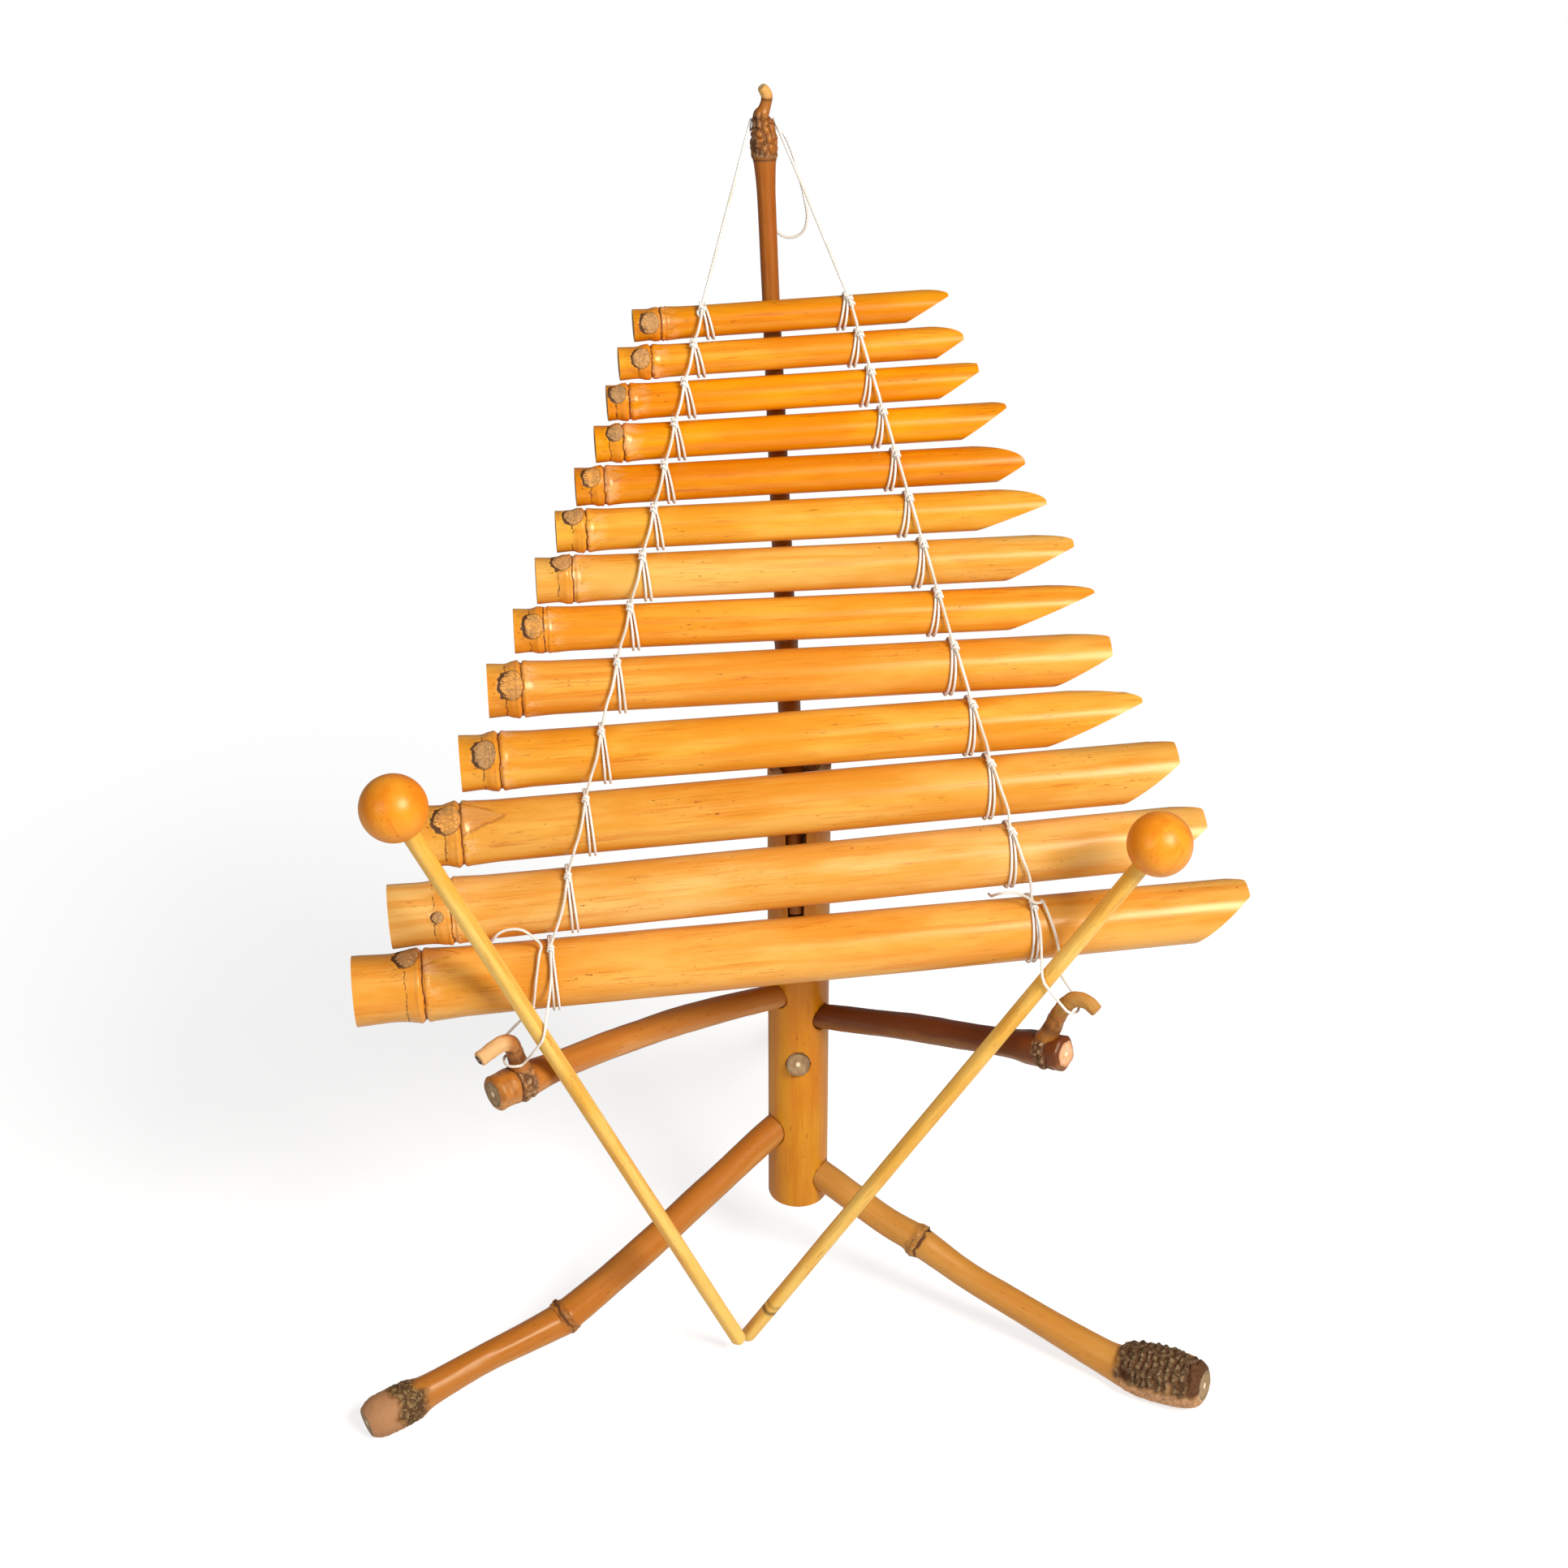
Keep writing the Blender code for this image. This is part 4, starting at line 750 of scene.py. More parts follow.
def knob_and_twig(reach, turn, total):
    """The mast's top: gnarled knob, twig with a pale tip."""
    left = total - reach
    knob = clamp((25.5 * MM - left) / (1.5 * MM)) * clamp((left - 9.5 * MM) / (2.0 * MM))
    high, crack = plates(reach, turn, 2.6 * MM, 4.6 * MM, 21.0)
    ring = hump(left, 24.6 * MM, 0.9 * MM)
    bark = knob * clamp(0.6 - 0.9 * math.sin(turn + 0.9) + rough(reach, turn, 3.0 * MM, 1.2, 5.0))
    lift = knob * (0.7 * MM * high - 0.45 * MM * crack) + 0.5 * MM * ring * (0.7 + rough(0.0, turn, 0.4, 0.6, 3.0))
    dark = knob * crack * 0.85 + 0.8 * hump(left, 26.0 * MM, 0.7 * MM) + 0.7 * hump(left, 5.0 * MM, 0.7 * MM)
    return lift, dark, max(bark, 0.75 * ring), clamp((4.8 * MM - left) / (1.0 * MM)) * 0.9


def stub_lumps(seed, length, amount):
    """The thick end of an arm past its joint, lumpy and a little darker by the joint."""

    def more(reach, turn, total):
        left = total - reach
        share = clamp((length - left) / (2.0 * MM))
        lift = share * (rough(reach, turn, 6.0 * MM, amount, seed) + rough(reach, turn, 2.0 * MM, 0.3 * amount, seed + 4.0))
        return lift, 0.25 * share * clamp(rough(reach, turn, 1.5 * MM, 2.0, seed)), 0.0, 0.0

    return more


def hook_growth(swell, pale_from, seed):
    """A hook twig: thick and gnarled where it grows out of the arm, dark in the cord's seat, pale at its tip."""

    def more(reach, turn, total):
        root = clamp(1.0 - reach / (8.0 * MM))
        high, crack = plates(reach, turn, 2.8 * MM, 4.0 * MM, seed)
        bark = clamp(root * 2.2) * clamp(0.55 + rough(reach, turn, 2.5 * MM, 1.6, seed))
        lift = swell * root * (0.8 + 0.8 * high - 0.5 * crack) + rough(reach, turn, 3.0 * MM, 0.3 * MM, seed + 2.0)
        seat = hump(reach, 13.0 * MM, 4.0 * MM)
        bend = hump(reach, pale_from - 3.5 * MM, 3.5 * MM)
        dark = max(clamp(root * 2.0) * crack * 0.8, 0.55 * seat, 0.5 * bend * clamp(0.5 + 2.0 * rough(reach, turn, 2.0 * MM, 1.0, seed)))
        return lift, dark, bark, 0.85 * clamp((reach - pale_from) / (3.0 * MM))

    return more


def make_post(finish, cut):
    skin = Skin()
    sides = 96
    outer = POST_D / 2.0
    inner = outer - POST_WALL
    rows = []
    count = 90
    for k in range(count + 1):
        rows.append((outer, POST_FOOT_Z + (POST_TOP_Z - POST_FOOT_Z) * k / count, 0))
    soft = 0.8 * MM
    rows[0] = (outer - soft, POST_FOOT_Z, 0)
    rows.insert(1, (outer - 0.2 * soft, POST_FOOT_Z + 0.35 * soft, 0))
    rows[2] = (outer, POST_FOOT_Z + 1.2 * soft, 0)
    rows += [(inner, POST_TOP_Z, 1), (inner, POST_FOOT_Z, 2)]
    loops = []
    for radius, z, _ in rows:
        loop = []
        for k in range(sides):
            turn = 2.0 * math.pi * k / sides
            size = radius + (rough(z, turn, 60.0 * MM, 0.12 * MM, 2.0) if radius > inner else 0.0)
            spot = Vector((size * math.cos(turn), size * math.sin(turn), z))
            loop.append(skin.point(STAND @ spot, (z, spot.x, spot.y)))
        loops.append(loop)
    for i, (near, far) in enumerate(zip(loops, loops[1:])):
        skin.band(near, far, 0 if i < len(loops) - 3 else 1)
    skin.band(loops[-1], loops[0], 1)
    post = skin.done("post_culm", "stand", [finish, cut], "bamboo", ("post",))
    tools = []
    for side in (-1, 1):
        arm = ARMS[side]
        tools.append((radial(arm.angle, 0.0, arm.z), radial(arm.angle, 2.0 * outer, arm.z + arm.rise * 2.0 * outer), ARM_D))
    for angle, z, rise in ((LEFT_LEG_ANGLE, LEFT_LEG_Z, LEFT_LEG_RISE), (RIGHT_LEG_ANGLE, RIGHT_LEG_Z, RIGHT_LEG_RISE)):
        tools.append((radial(angle, 0.0, z), radial(angle, 2.0 * outer, z + rise * 2.0 * outer), LEG_D))
    rise = rear_leg_rise()
    tools.append((radial(REAR_LEG_ANGLE, -2.0 * outer, REAR_LEG_Z - rise * 2.0 * outer),
                  radial(REAR_LEG_ANGLE, 2.0 * outer, REAR_LEG_Z + rise * 2.0 * outer), REAR_LEG_D))
    for i, (start, end, size) in enumerate(tools):
        tool = limb(f"post_tool_{i}", [(start, size / 2.0 + GAP), (end, size / 2.0 + GAP)], finish, cut, (), step=5.0 * MM,
                    sides=48)
        carve(post, tool)
    tool = Skin()
    loops = []
    for z, width in ((SLOT_FOOT_Z, SLOT_FOOT_WIDTH), (POST_TOP_Z + 4.0 * MM, SLOT_TOP_WIDTH)):
        corners = ((SLOT_X - width / 2.0, -1.5 * outer), (SLOT_X + width / 2.0, -1.5 * outer),
                   (SLOT_X + width / 2.0, -0.35 * outer), (SLOT_X - width / 2.0, -0.35 * outer))
        loops.append([tool.point(STAND @ Vector((x, y, z)), (0.0, 0.0, 0.0)) for x, y in corners])
    tool.band(loops[0], loops[1])
    for loop in loops:
        tool.faces.append(tuple(loop))
        tool.stuff.append(0)
    carve(post, tool.done("post_tool_slot", "stand", [finish, cut], "bamboo", sharp=0.0))
    grain = post.data.attributes["grain"].data
    away = STAND.inverted()
    for vertex in post.data.vertices:
        spot = away @ vertex.co
        grain[vertex.index].vector = (spot.z, spot.x, spot.y)
    return post


def carve(target, tool):
    """Cut one mesh with another for good, and drop the tool."""
    tidy = bmesh.new()
    tidy.from_mesh(tool.data)
    bmesh.ops.recalc_face_normals(tidy, faces=tidy.faces)
    tidy.to_mesh(tool.data)
    tidy.free()
    change = target.modifiers.new("cut", "BOOLEAN")
    change.operation = "DIFFERENCE"
    change.solver = "EXACT"
    change.object = tool
    bpy.context.view_layer.update()
    graph = bpy.context.evaluated_depsgraph_get()
    made = bpy.data.meshes.new_from_object(target.evaluated_get(graph))
    target.modifiers.clear()
    target.data = made
    bpy.data.objects.remove(tool)


def rear_leg_rise():
    sole = REAR_LEG_D / 2.0 * 1.25 - SOLE_CUT
    return (sole - REAR_LEG_Z) / REAR_LEG_REACH


def leg_path(angle, base_z, rise, stops):
    peg = -3.0 * MM
    collar = POST_D / 2.0 + 3.0 * MM
    path = [(radial(angle, peg, base_z + rise * peg), LEG_D / 2.0 * 0.92),
            (radial(angle, collar, base_z + rise * collar), LEG_D / 2.0)]
    return path + [(radial(angle, reach * MM, z * MM), radius * MM) for reach, z, radius in stops]


def make_stand():
    gold = skin_material("post_skin", (0.70, 0.255, 0.006), 40.0, roughness=0.36, fibre=0.8)
    cut = cut_material("culm_cut", (0.72, 0.50, 0.24), (0.35, 0.17, 0.05), 2.0)
    make_post(gold, cut)
    end = cut_material("branch_cut", (0.42, 0.28, 0.13), (0.22, 0.12, 0.05), 9.0)
    rosy = cut_material("arm_cut", (0.85, 0.50, 0.30), (0.62, 0.26, 0.10), 12.0)

    mast = [(mast_point(MAST_FOOT_Z), MAST_FOOT_W / 2.0 + 0.2 * MM), (mast_point(POST_TOP_Z - 4.0 * MM), MAST_RIM_D / 2.0)]
    for z, size in ((258.0, 1.00), (283.0, 1.03), (286.5, 1.10), (290.0, 0.93), (340.0, 0.86)):
        mast.append((mast_point(z * MM), MAST_D / 2.0 * size))
    for below, size in ((58.0, 1.0), (24.0, 1.03), (12.0, 1.18), (8.2, 1.34), (6.0, 1.48), (3.6, 1.50), (1.0, 1.44)):
        mast.append((mast_point(MAST_TIE_Z - below * MM), MAST_TOP_D / 2.0 * size))
    tie = mast_point(MAST_TIE_Z)
    for dx, dy, dz, radius in ((-0.1, 0.3, 1.6, 4.2), (-0.5, 0.8, 4.0, 3.5), (-0.6, 1.2, 6.2, 2.8), (0.4, 1.6, 8.2, 2.1),
                               (1.2, 1.9, 10.6, 1.9), (1.4, 2.0, 12.6, 2.0), (0.8, 2.0, 14.2, 2.0), (-0.5, 1.6, 16.0, 1.8)):
        mast.append((tie + Vector((dx, dy, dz)) * MM, radius * MM))
    brown = skin_material("mast_skin", (0.36, 0.105, 0.008), 51.0, roughness=0.38, bark=((0.20, 0.085, 0.030), (0.50, 0.30, 0.15)),
                          pale=(0.66, 0.36, 0.10))
    limb("mast_branch", mast, brown, cut, ("mast",), rounding=1.2 * MM,
         shape=branch_shape(1.0, (Joint(109.0 * MM, 2.0 * MM, 0.3 * MM, 0.3),), 0.12 * MM, 4.0 * MM, knob_and_twig))

    # Painted shade: the left hook's flat end face is near black, standing in for the shadowed inside of a hollow tip.
    hollow_shade = cut_material("hollow_cut", (0.10, 0.035, 0.012), (0.06, 0.02, 0.008), 14.0)
    sides = ((-1, "left", (0.50, 0.170, 0.022), (0.62, 0.31, 0.115), end, hollow_shade, 12.5, 7.0, ((0.26, 0.12, 0.045), (0.66, 0.42, 0.22))),
             (1, "right", (0.145, 0.032, 0.006), (0.34, 0.125, 0.020), rosy, rosy, 8.0, 5.0, ((0.22, 0.11, 0.045), (0.52, 0.34, 0.18))))
    for side, word, colour, under, face, tip, back, crust, bark in sides:
        reach = ARMS[side].reach
        half = ARM_D / 2.0
        stops = ((1.5 * MM, half * 0.94), (POST_D / 2.0 + 2.0 * MM, half), (0.45 * reach, half * 1.08),
                 (0.78 * reach, half * 1.08), (reach - 15.0 * MM, ARM_NODE_D / 2.0 * 0.92),
                 (reach - 4.0 * MM, ARM_NODE_D / 2.0 * 0.93), (reach, ARM_NODE_D / 2.0 * 0.90))
        path = [(arm_point(side, stop), radius) for stop, radius in stops]
        total = sum((b - a).length for (a, _), (b, _) in zip(path, path[1:]))
        finish = skin_material(f"{word}_arm_skin", colour, 60.0 + side, roughness=0.36, bark=bark, under=under)
        limb(f"{word}_arm_branch", path, finish, face, (f"{word}_arm",), rounding=1.5 * MM,
             shape=branch_shape(2.0 + side, (Joint(total - back * MM, crust * MM, 1.3 * MM, 0.95),), 0.3 * MM, 6.5 * MM,
                                stub_lumps(11.0 + side, back * MM, 0.8 * MM)))
        twig = hook_path(side)
        if side > 0:
            angle = ARMS[side].angle
            twig[0] = (twig[0][0] + radial(angle, 4.0 * MM, 1.0 * MM), twig[0][1])
            twig[1] = (twig[1][0] + radial(angle, 2.2 * MM, 0.6 * MM), twig[1][1])
        brown = (0.40, 0.15, 0.022) if side > 0 else (0.42, 0.15, 0.030)
        pale = (0.52, 0.25, 0.055) if side > 0 else (0.80, 0.47, 0.20)
        finish = skin_material(f"{word}_hook_skin", brown, 64.0 + side, roughness=0.36, bark=bark, pale=pale)
        limb(f"{word}_arm_hook", twig, finish, tip, (), sides=40, rounding=0.4 * MM,
             shape=branch_shape(4.0 + side, (), 0.15 * MM, 3.5 * MM, hook_growth(1.9 * MM, 21.0 * MM, 31.0 + side)))

    stops = ((45.0, 54.0, 5.9), (78.0, 35.0, 6.0), (110.0, 19.6, 6.3), (144.0, 15.0, 5.7),
             (168.0, 10.6, 6.3), (176.0, 9.0, 7.8), (187.0, 7.5, 8.1), (195.5, 6.3, 7.4))
    path = node_bulge(leg_path(LEFT_LEG_ANGLE, LEFT_LEG_Z, LEFT_LEG_RISE, stops), 4, 8.0 * MM, 1.16)
    finish = skin_material("left_leg_skin", (0.50, 0.165, 0.018), 71.0, roughness=0.36,
                           bark=((0.14, 0.085, 0.030), (0.40, 0.25, 0.10)), under=(0.60, 0.27, 0.060), pale=(0.44, 0.22, 0.105))
    limb("left_leg_branch", path, finish, end, ("left_leg",), sole=0.0, rounding=6.0 * MM,
         shape=branch_shape(5.0, (Joint(128.0 * MM, 4.0 * MM, 0.8 * MM, 0.35),), radius=6.5 * MM, more=root_bark))
    stops = ((38.4, 38.6, 5.7), (56.0, 33.6, 5.9), (77.4, 25.2, 5.6), (96.0, 20.0, 5.7), (114.0, 15.2, 5.9),
             (132.0, 10.4, 6.5), (144.0, 8.0, 7.4), (151.0, 9.0, 10.0), (162.0, 10.4, 11.1), (173.0, 11.4, 10.4),
             (181.0, 12.6, 8.2))
    path = node_bulge(leg_path(RIGHT_LEG_ANGLE, RIGHT_LEG_Z, RIGHT_LEG_RISE, stops), 3, 8.0 * MM, 1.15)
    finish = skin_material("right_leg_skin", (0.58, 0.25, 0.040), 82.0, roughness=0.36,
                           bark=((0.11, 0.065, 0.030), (0.34, 0.22, 0.11)), under=(0.66, 0.30, 0.055), pale=(0.62, 0.33, 0.16))
    limb("right_leg_branch", path, finish, end, ("right_leg",), sole=0.0, rounding=2.5 * MM,
         shape=branch_shape(6.0, (Joint(63.0 * MM, 4.0 * MM, 0.7 * MM, 0.3),), radius=7.0 * MM, more=knob_bark))

    rise = rear_leg_rise()
    half = REAR_LEG_D / 2.0
    stops = ((-POST_D / 2.0 - 0.4 * MM, 1.0), (POST_D / 2.0 + 4.0 * MM, 1.0), (58.0 * MM, 1.02), (88.0 * MM, 1.06),
             (120.0 * MM, 1.03), (REAR_LEG_REACH - 12.0 * MM, 1.10), (REAR_LEG_REACH, 1.25),
             (REAR_LEG_REACH + 9.0 * MM, 1.22))
    path = [(radial(REAR_LEG_ANGLE, reach, REAR_LEG_Z + rise * reach), half * size) for reach, size in stops]
    finish = skin_material("rear_leg_skin", (0.52, 0.21, 0.035), 93.0, roughness=0.38, under=(0.42, 0.15, 0.022))
    limb("rear_leg_branch", node_bulge(path, 3, 7.0 * MM, 1.18), finish, end, ("rear_leg",), sole=0.0, rounding=2.0 * MM,
         shape=branch_shape(7.0, (Joint(115.0 * MM, 4.0 * MM, 0.6 * MM, 0.3),)))


# The keys
def cord_x(side, drop):
    start, spread = CORD_X[side]
    return start + spread * drop


def key_drops():
    drops = [FIRST_KEY_DROP]
    for upper, lower in zip(KEYS, KEYS[1:]):
        turn = math.radians(lower.tilt - upper.tilt)
        side = 1 if turn > 0.0 else -1
        closing = abs(cord_x(side, drops[-1]) * math.sin(turn))
        drops.append(drops[-1] + (upper.diameter + lower.diameter) / 2.0 * MM + lower.gap * MM + closing)
    return drops


DROPS = key_drops()
LENGTHS = [KEY_LENGTH * KEY_LENGTH_RATIO ** i + key.trim * MM for i, key in enumerate(KEYS)]
LEFTS = [cord_x(-1, drop) - key.overhang * MM for drop, key in zip(DROPS, KEYS)]
PLACES = [LADDER @ Matrix.Translation((0.0, -drop, 0.0)) @ Matrix.Rotation(math.radians(key.tilt), 4, "Z")
          for drop, key in zip(DROPS, KEYS)]


def key_radius(index, share):
    key = KEYS[index]
    return key.diameter / 2.0 * MM * (1.0 - key.taper * max(0.0, share - 0.2) / 0.8)


def tip_setback(key, high, deep):
    if high > key.tip_high:
        t = min(1.0, (high - key.tip_high) / (1.0 - key.tip_high))
        back = key.top_cut * (1.0 - math.sqrt(1.0 - 0.96 * t * t)) / 0.8
    elif high < key.tip_low:
        back = key.low_cut * (key.tip_low - high) / (key.tip_low + 1.0)
    else:
        back = 0.0
    return (back + max(0.0, -deep) * 1.25 * key.low_cut) * MM


def key_turns(key):
    quarter = math.pi / 2.0
    stops = (-quarter, math.asin(key.tip_low), math.asin(key.tip_high), quarter, 3.0 * quarter)
    turns = []
    for start, end in zip(stops, stops[1:]):
        count = max(2, math.ceil((end - start) / 0.075))
        turns += [start + (end - start) * k / count for k in range(count)]
    return turns


def outline(stops, x):
    """The value at x on a smooth line through (x, value) stops."""
    for (x0, v0), (x1, v1) in zip(stops, stops[1:]):
        if x <= x1:
            t = max(0.0, (x - x0) / (x1 - x0))
            return v0 + (v1 - v0) * t * t * (3.0 - 2.0 * t)
    return stops[-1][1]


def ridge_length(key):
    return 3.0 * MM + 0.13 * key.diameter * MM


def key_skin(index):
    """The height of a key's skin over its plain line, its marks and its place by the scar and the joint."""
    key, look = KEYS[index], LOOKS[index]
    radius = key.diameter / 2.0 * MM
    ridge = ridge_length(key)
    seed = 10.0 + 3.0 * index

    def shape(x, turn):
        lift = rough(x, turn, 45.0 * MM, 0.012 * radius, seed)
        wave = look.line * MM + rough(0.0, turn, 1.0, 0.5 * MM, seed + 1.0)
        lift -= 0.28 * MM * hump(x, wave, 0.6 * MM)
        lift += 0.42 * MM * hump(x, wave - 0.45 * ridge, 0.55 * ridge) * (0.8 + rough(x, turn, 2.0 * MM, 0.5, seed + 2.0))
        lift += 0.20 * MM * hump(x, wave + 1.5 * MM, 1.6 * MM)
        around = (turn - math.radians(look.scar_turn) + math.pi) % (2.0 * math.pi) - math.pi
        u = (x - look.scar_x * MM) / (look.scar_a * MM)
        v = around * radius / (look.scar_b * MM)
        far = math.hypot(u, v)
        swell = max(0.0, min(1.0, (1.9 - far) / 1.1))
        lift += 0.62 * MM * swell * swell * (3.0 - 2.0 * swell) * min(1.0, look.scar_a / 3.0)
        lift -= 0.22 * MM * hump(far, 1.0, 0.16) * max(0.0, min(1.0, 0.4 - u))
        lift += rough(x, turn, 1.2 * MM, 0.10 * MM, seed + 7.0) * max(0.0, min(1.0, (1.3 - far) * 2.0))
        return lift, (0.0, 0.0, 0.0), (u, v, (x - wave) / MM)

    return shape


def make_key(index, finish, cut):
    key = KEYS[index]
    length = LENGTHS[index]
    radius = key.diameter / 2.0 * MM
    wall = KEY_WALL * radius
    stub = key.stub * MM
    step = 0.16 * radius + 0.6 * MM
    place = PLACES[index] @ Matrix.Translation((LEFTS[index], 0.0, 0.0))
    turns = key_turns(key)
    form = ((0.0, 1.02), (0.55 * stub, 0.985), (stub - step, 1.03), (stub - 0.4 * step, 1.075), (stub + 0.3 * step, 1.0),
            (stub + 0.7 * step, 1.055), (stub + 1.3 * radius, 1.01), (0.2 * length, 1.0))
    shape = key_skin(index)
    skin = Skin()

    def ring(xs, sizes, lifted=True):
        loop = []
        for x, size, turn in zip(xs, sizes, turns):
            lift, marks, spot = shape(x, turn) if lifted else (0.0, (0.0, 0.0, 0.0), (9.0, 9.0, 90.0))
            reach = size + lift
            at = Vector((x, reach * math.sin(turn), reach * math.cos(turn)))
            loop.append(skin.point(place @ at, (x, at.y, at.z), marks, spot))
        return loop

    count = len(turns)
    loops = []
    near_end = stub + 2.2 * radius
    x = 0.0
    places = []
    while x < near_end:
        places.append(x)
        x += 0.35 * MM
    for x in places:
        loops.append(ring([x] * count, [radius * outline(form, x)] * count))
    end = key_radius(index, 1.0)
    starts = [places[-1]] * count
    goals = [length - tip_setback(key, math.sin(t), math.cos(t)) for t in turns]
    rows = 46
    for k in range(1, rows + 1):
        share = k / rows
        xs = [start + (goal - start) * share for start, goal in zip(starts, goals)]
        sizes = [radius * outline(form, x) if x < 0.2 * length else key_radius(index, x / length) for x in xs]
        loops.append(ring(xs, sizes))
    for near, far in zip(loops, loops[1:]):
        skin.band(near, far, 0)
    inner = []
    for turn in turns:
        inner.append(length - tip_setback(key, (end - wall) / end * math.sin(turn), (end - wall) / end * math.cos(turn)))
    lip = ring(inner, [end - wall] * count, lifted=False)
    skin.band(loops[-1], lip, 1)
    last = lip
    for share in (0.75, 0.5, 0.25, 0.0):
        xs = [stub + 1.5 * step + (goal - stub - 1.5 * step) * share for goal in inner]
        bore = end - wall if share > 0.1 else radius - 1.5 * wall
        loop = ring(xs, [bore] * count, lifted=False)
        skin.band(last, loop, 2)
        last = loop
    skin.fan(last, skin.point(place @ Vector((stub + 1.2 * step, 0.0, 0.0)), (stub, 0.0, 0.0)), 2)
    mouth = ring([0.0] * count, [radius - wall] * count, lifted=False)
    skin.band(mouth, loops[0], 1)
    floor = ring([stub - 0.6 * step] * count, [radius - 1.6 * wall] * count, lifted=False)
    skin.band(floor, mouth, 2)
    skin.fan(floor, skin.point(place @ Vector((stub - 0.5 * step, 0.0, 0.0)), (stub, 0.0, 0.0)), 2)
    number = f"{index + 1:02d}"
    return skin.done(f"key_{number}_tube", f"hung_key_{number}", [finish, cut[0], cut[1]], "bamboo", (f"key_{number}",))


# The cords
def sling_x(index, side):
    return cord_x(side, DROPS[index]) - side * SLING_INSET


def winding_rows(index, side):
    """Two turns that leave the running cord over the key, spread down its front and come back behind it."""
    radius = KEYS[index].diameter / 2.0 * MM
    high = cord_x(side, DROPS[index] - 0.9 * radius)
    low = sling_x(index, side) - side * WINDING_SHIFT
    stops = ((112.0, high), (90.0, high + side * 0.4 * MM), (-90.0, low + side * 0.9 * MM), (-270.0, high - side * 0.5 * MM),
             (-450.0, low - side * 1.1 * MM), (-612.0, high - side * 0.2 * MM))
    rows = []
    for (start, near), (end, far) in zip(stops, stops[1:]):
        count = max(2, round(math.radians(start - end) * radius / (0.4 * MM)))
        for k in range(count):
            t = k / count
            x = near + (far - near) * t * t * (3.0 - 2.0 * t)
            reach = key_radius(index, (x - LEFTS[index]) / LENGTHS[index]) + GAP + SLING_D / 2.0
            turn = math.radians(start + (end - start) * t)
            rows.append(PLACES[index] @ Vector((x, reach * math.sin(turn), reach * math.cos(turn))))
    return rows


def hitch_rows(rows, lanes, first):
    """A few turns of the winding's cord round the running cord, from one of its rows on."""
    ring = (CORD_D + SLING_D) / 2.0 * 0.94
    made = []
    count = round(HITCH_TURNS * HITCH_STEPS)
    for k in range(count + 1):
        at = first + k / HITCH_STEPS * HITCH_PITCH / CORD_STEP
        i = int(at)
        place = rows[i].lerp(rows[i + 1], at - i)
        side, rise, _ = lanes[i]
        turn = 2.0 * math.pi * k / HITCH_STEPS
        made.append(place + (side * math.cos(turn) + rise * math.sin(turn)) * ring)
    return made


def run_point(index, x, step):
    middle = sling_x(index, 1 if x > 0.0 else -1)
    share = (middle - SLING_PITCH - LEFTS[index]) / LENGTHS[index]
    lift = GAP + SLING_D + GAP + CORD_D / 2.0
    reach = key_radius(index, share) + lift
    turn = 2.0 * math.pi * step / 10.0
    return PLACES[index] @ Vector((x, reach * math.sin(turn), reach * math.cos(turn)))


def run_points(index, side):
    radius = KEYS[index].diameter / 2.0 * MM
    return [run_point(index, cord_x(side, DROPS[index] - share * radius), step)
            for share, step in ((1.0, 1.5), (0.7, 1), (0.1, 0), (-0.75, -1))]


def loop_points(side):
    tip, ball = MALLETS["left" if side < 0 else "right"]
    start_x = cord_x(side, DROPS[LAST] - KEYS[LAST].diameter / 2.0 * MM)
    home = STAND.inverted()
    over = [home @ run_point(LAST, start_x + side * out * MM, step) for out, step in ((0.0, 1.5), (0.5, 1), (1.2, 0))]
    back = ((8.0, -1), (6.5, 0), (4.6, 1), (3.6, 1.5))
    under = [home @ run_point(LAST, start_x + side * out * MM, step) for out, step in back]
    seat, stem, up = hook_seat(side)
    out = radial(ARMS[side].angle, 1.0, 0.0)
    out = (out - up * out.dot(up)).normalized()
    front = up.cross(out)
    if front.y > 0.0:
        front = -front
    ring = (stem + GAP + CORD_D / 2.0) / math.cos(math.radians(18.0)) + 0.1 * MM
    wrap = []
    for degrees in (90.0, 54.0, 18.0, -18.0, -54.0, -90.0):
        turn = math.radians(degrees)
        wrap.append(seat + (front * math.sin(turn) + out * math.cos(turn)) * ring)
    if side < 0:
        wrap.append(seat + up * 6.0 * MM - front * (ring + 0.8 * MM))
    shaft = (ball - tip).normalized()
    spread = SHAFT_D / 2.0 + GAP + CORD_D / 2.0 + 0.2 * MM
    crossings = []
    for near, far, facing in ((over[-1], wrap[0], 1.0), (under[0], wrap[-1], -1.0)):
        line = (far - near).normalized()
        away = shaft.cross(line).normalized()
        if away.y > 0.0:
            away = -away
        gap = near - tip
        flat = line - shaft * line.dot(shaft)
        share = -(gap - shaft * gap.dot(shaft)).dot(flat) / flat.length_squared
        at = tip + shaft * (near + line * share - tip).dot(shaft)
        along = line / flat.length
        bends = (-0.6, 0.0, 0.6) if facing > 0.0 else (0.0,)
        crossings.append([at + (away * facing * math.cos(b) + along * math.sin(b)) * spread for b in bends])
    return [STAND @ point for point in over + crossings[0] + wrap + crossings[1] + under]


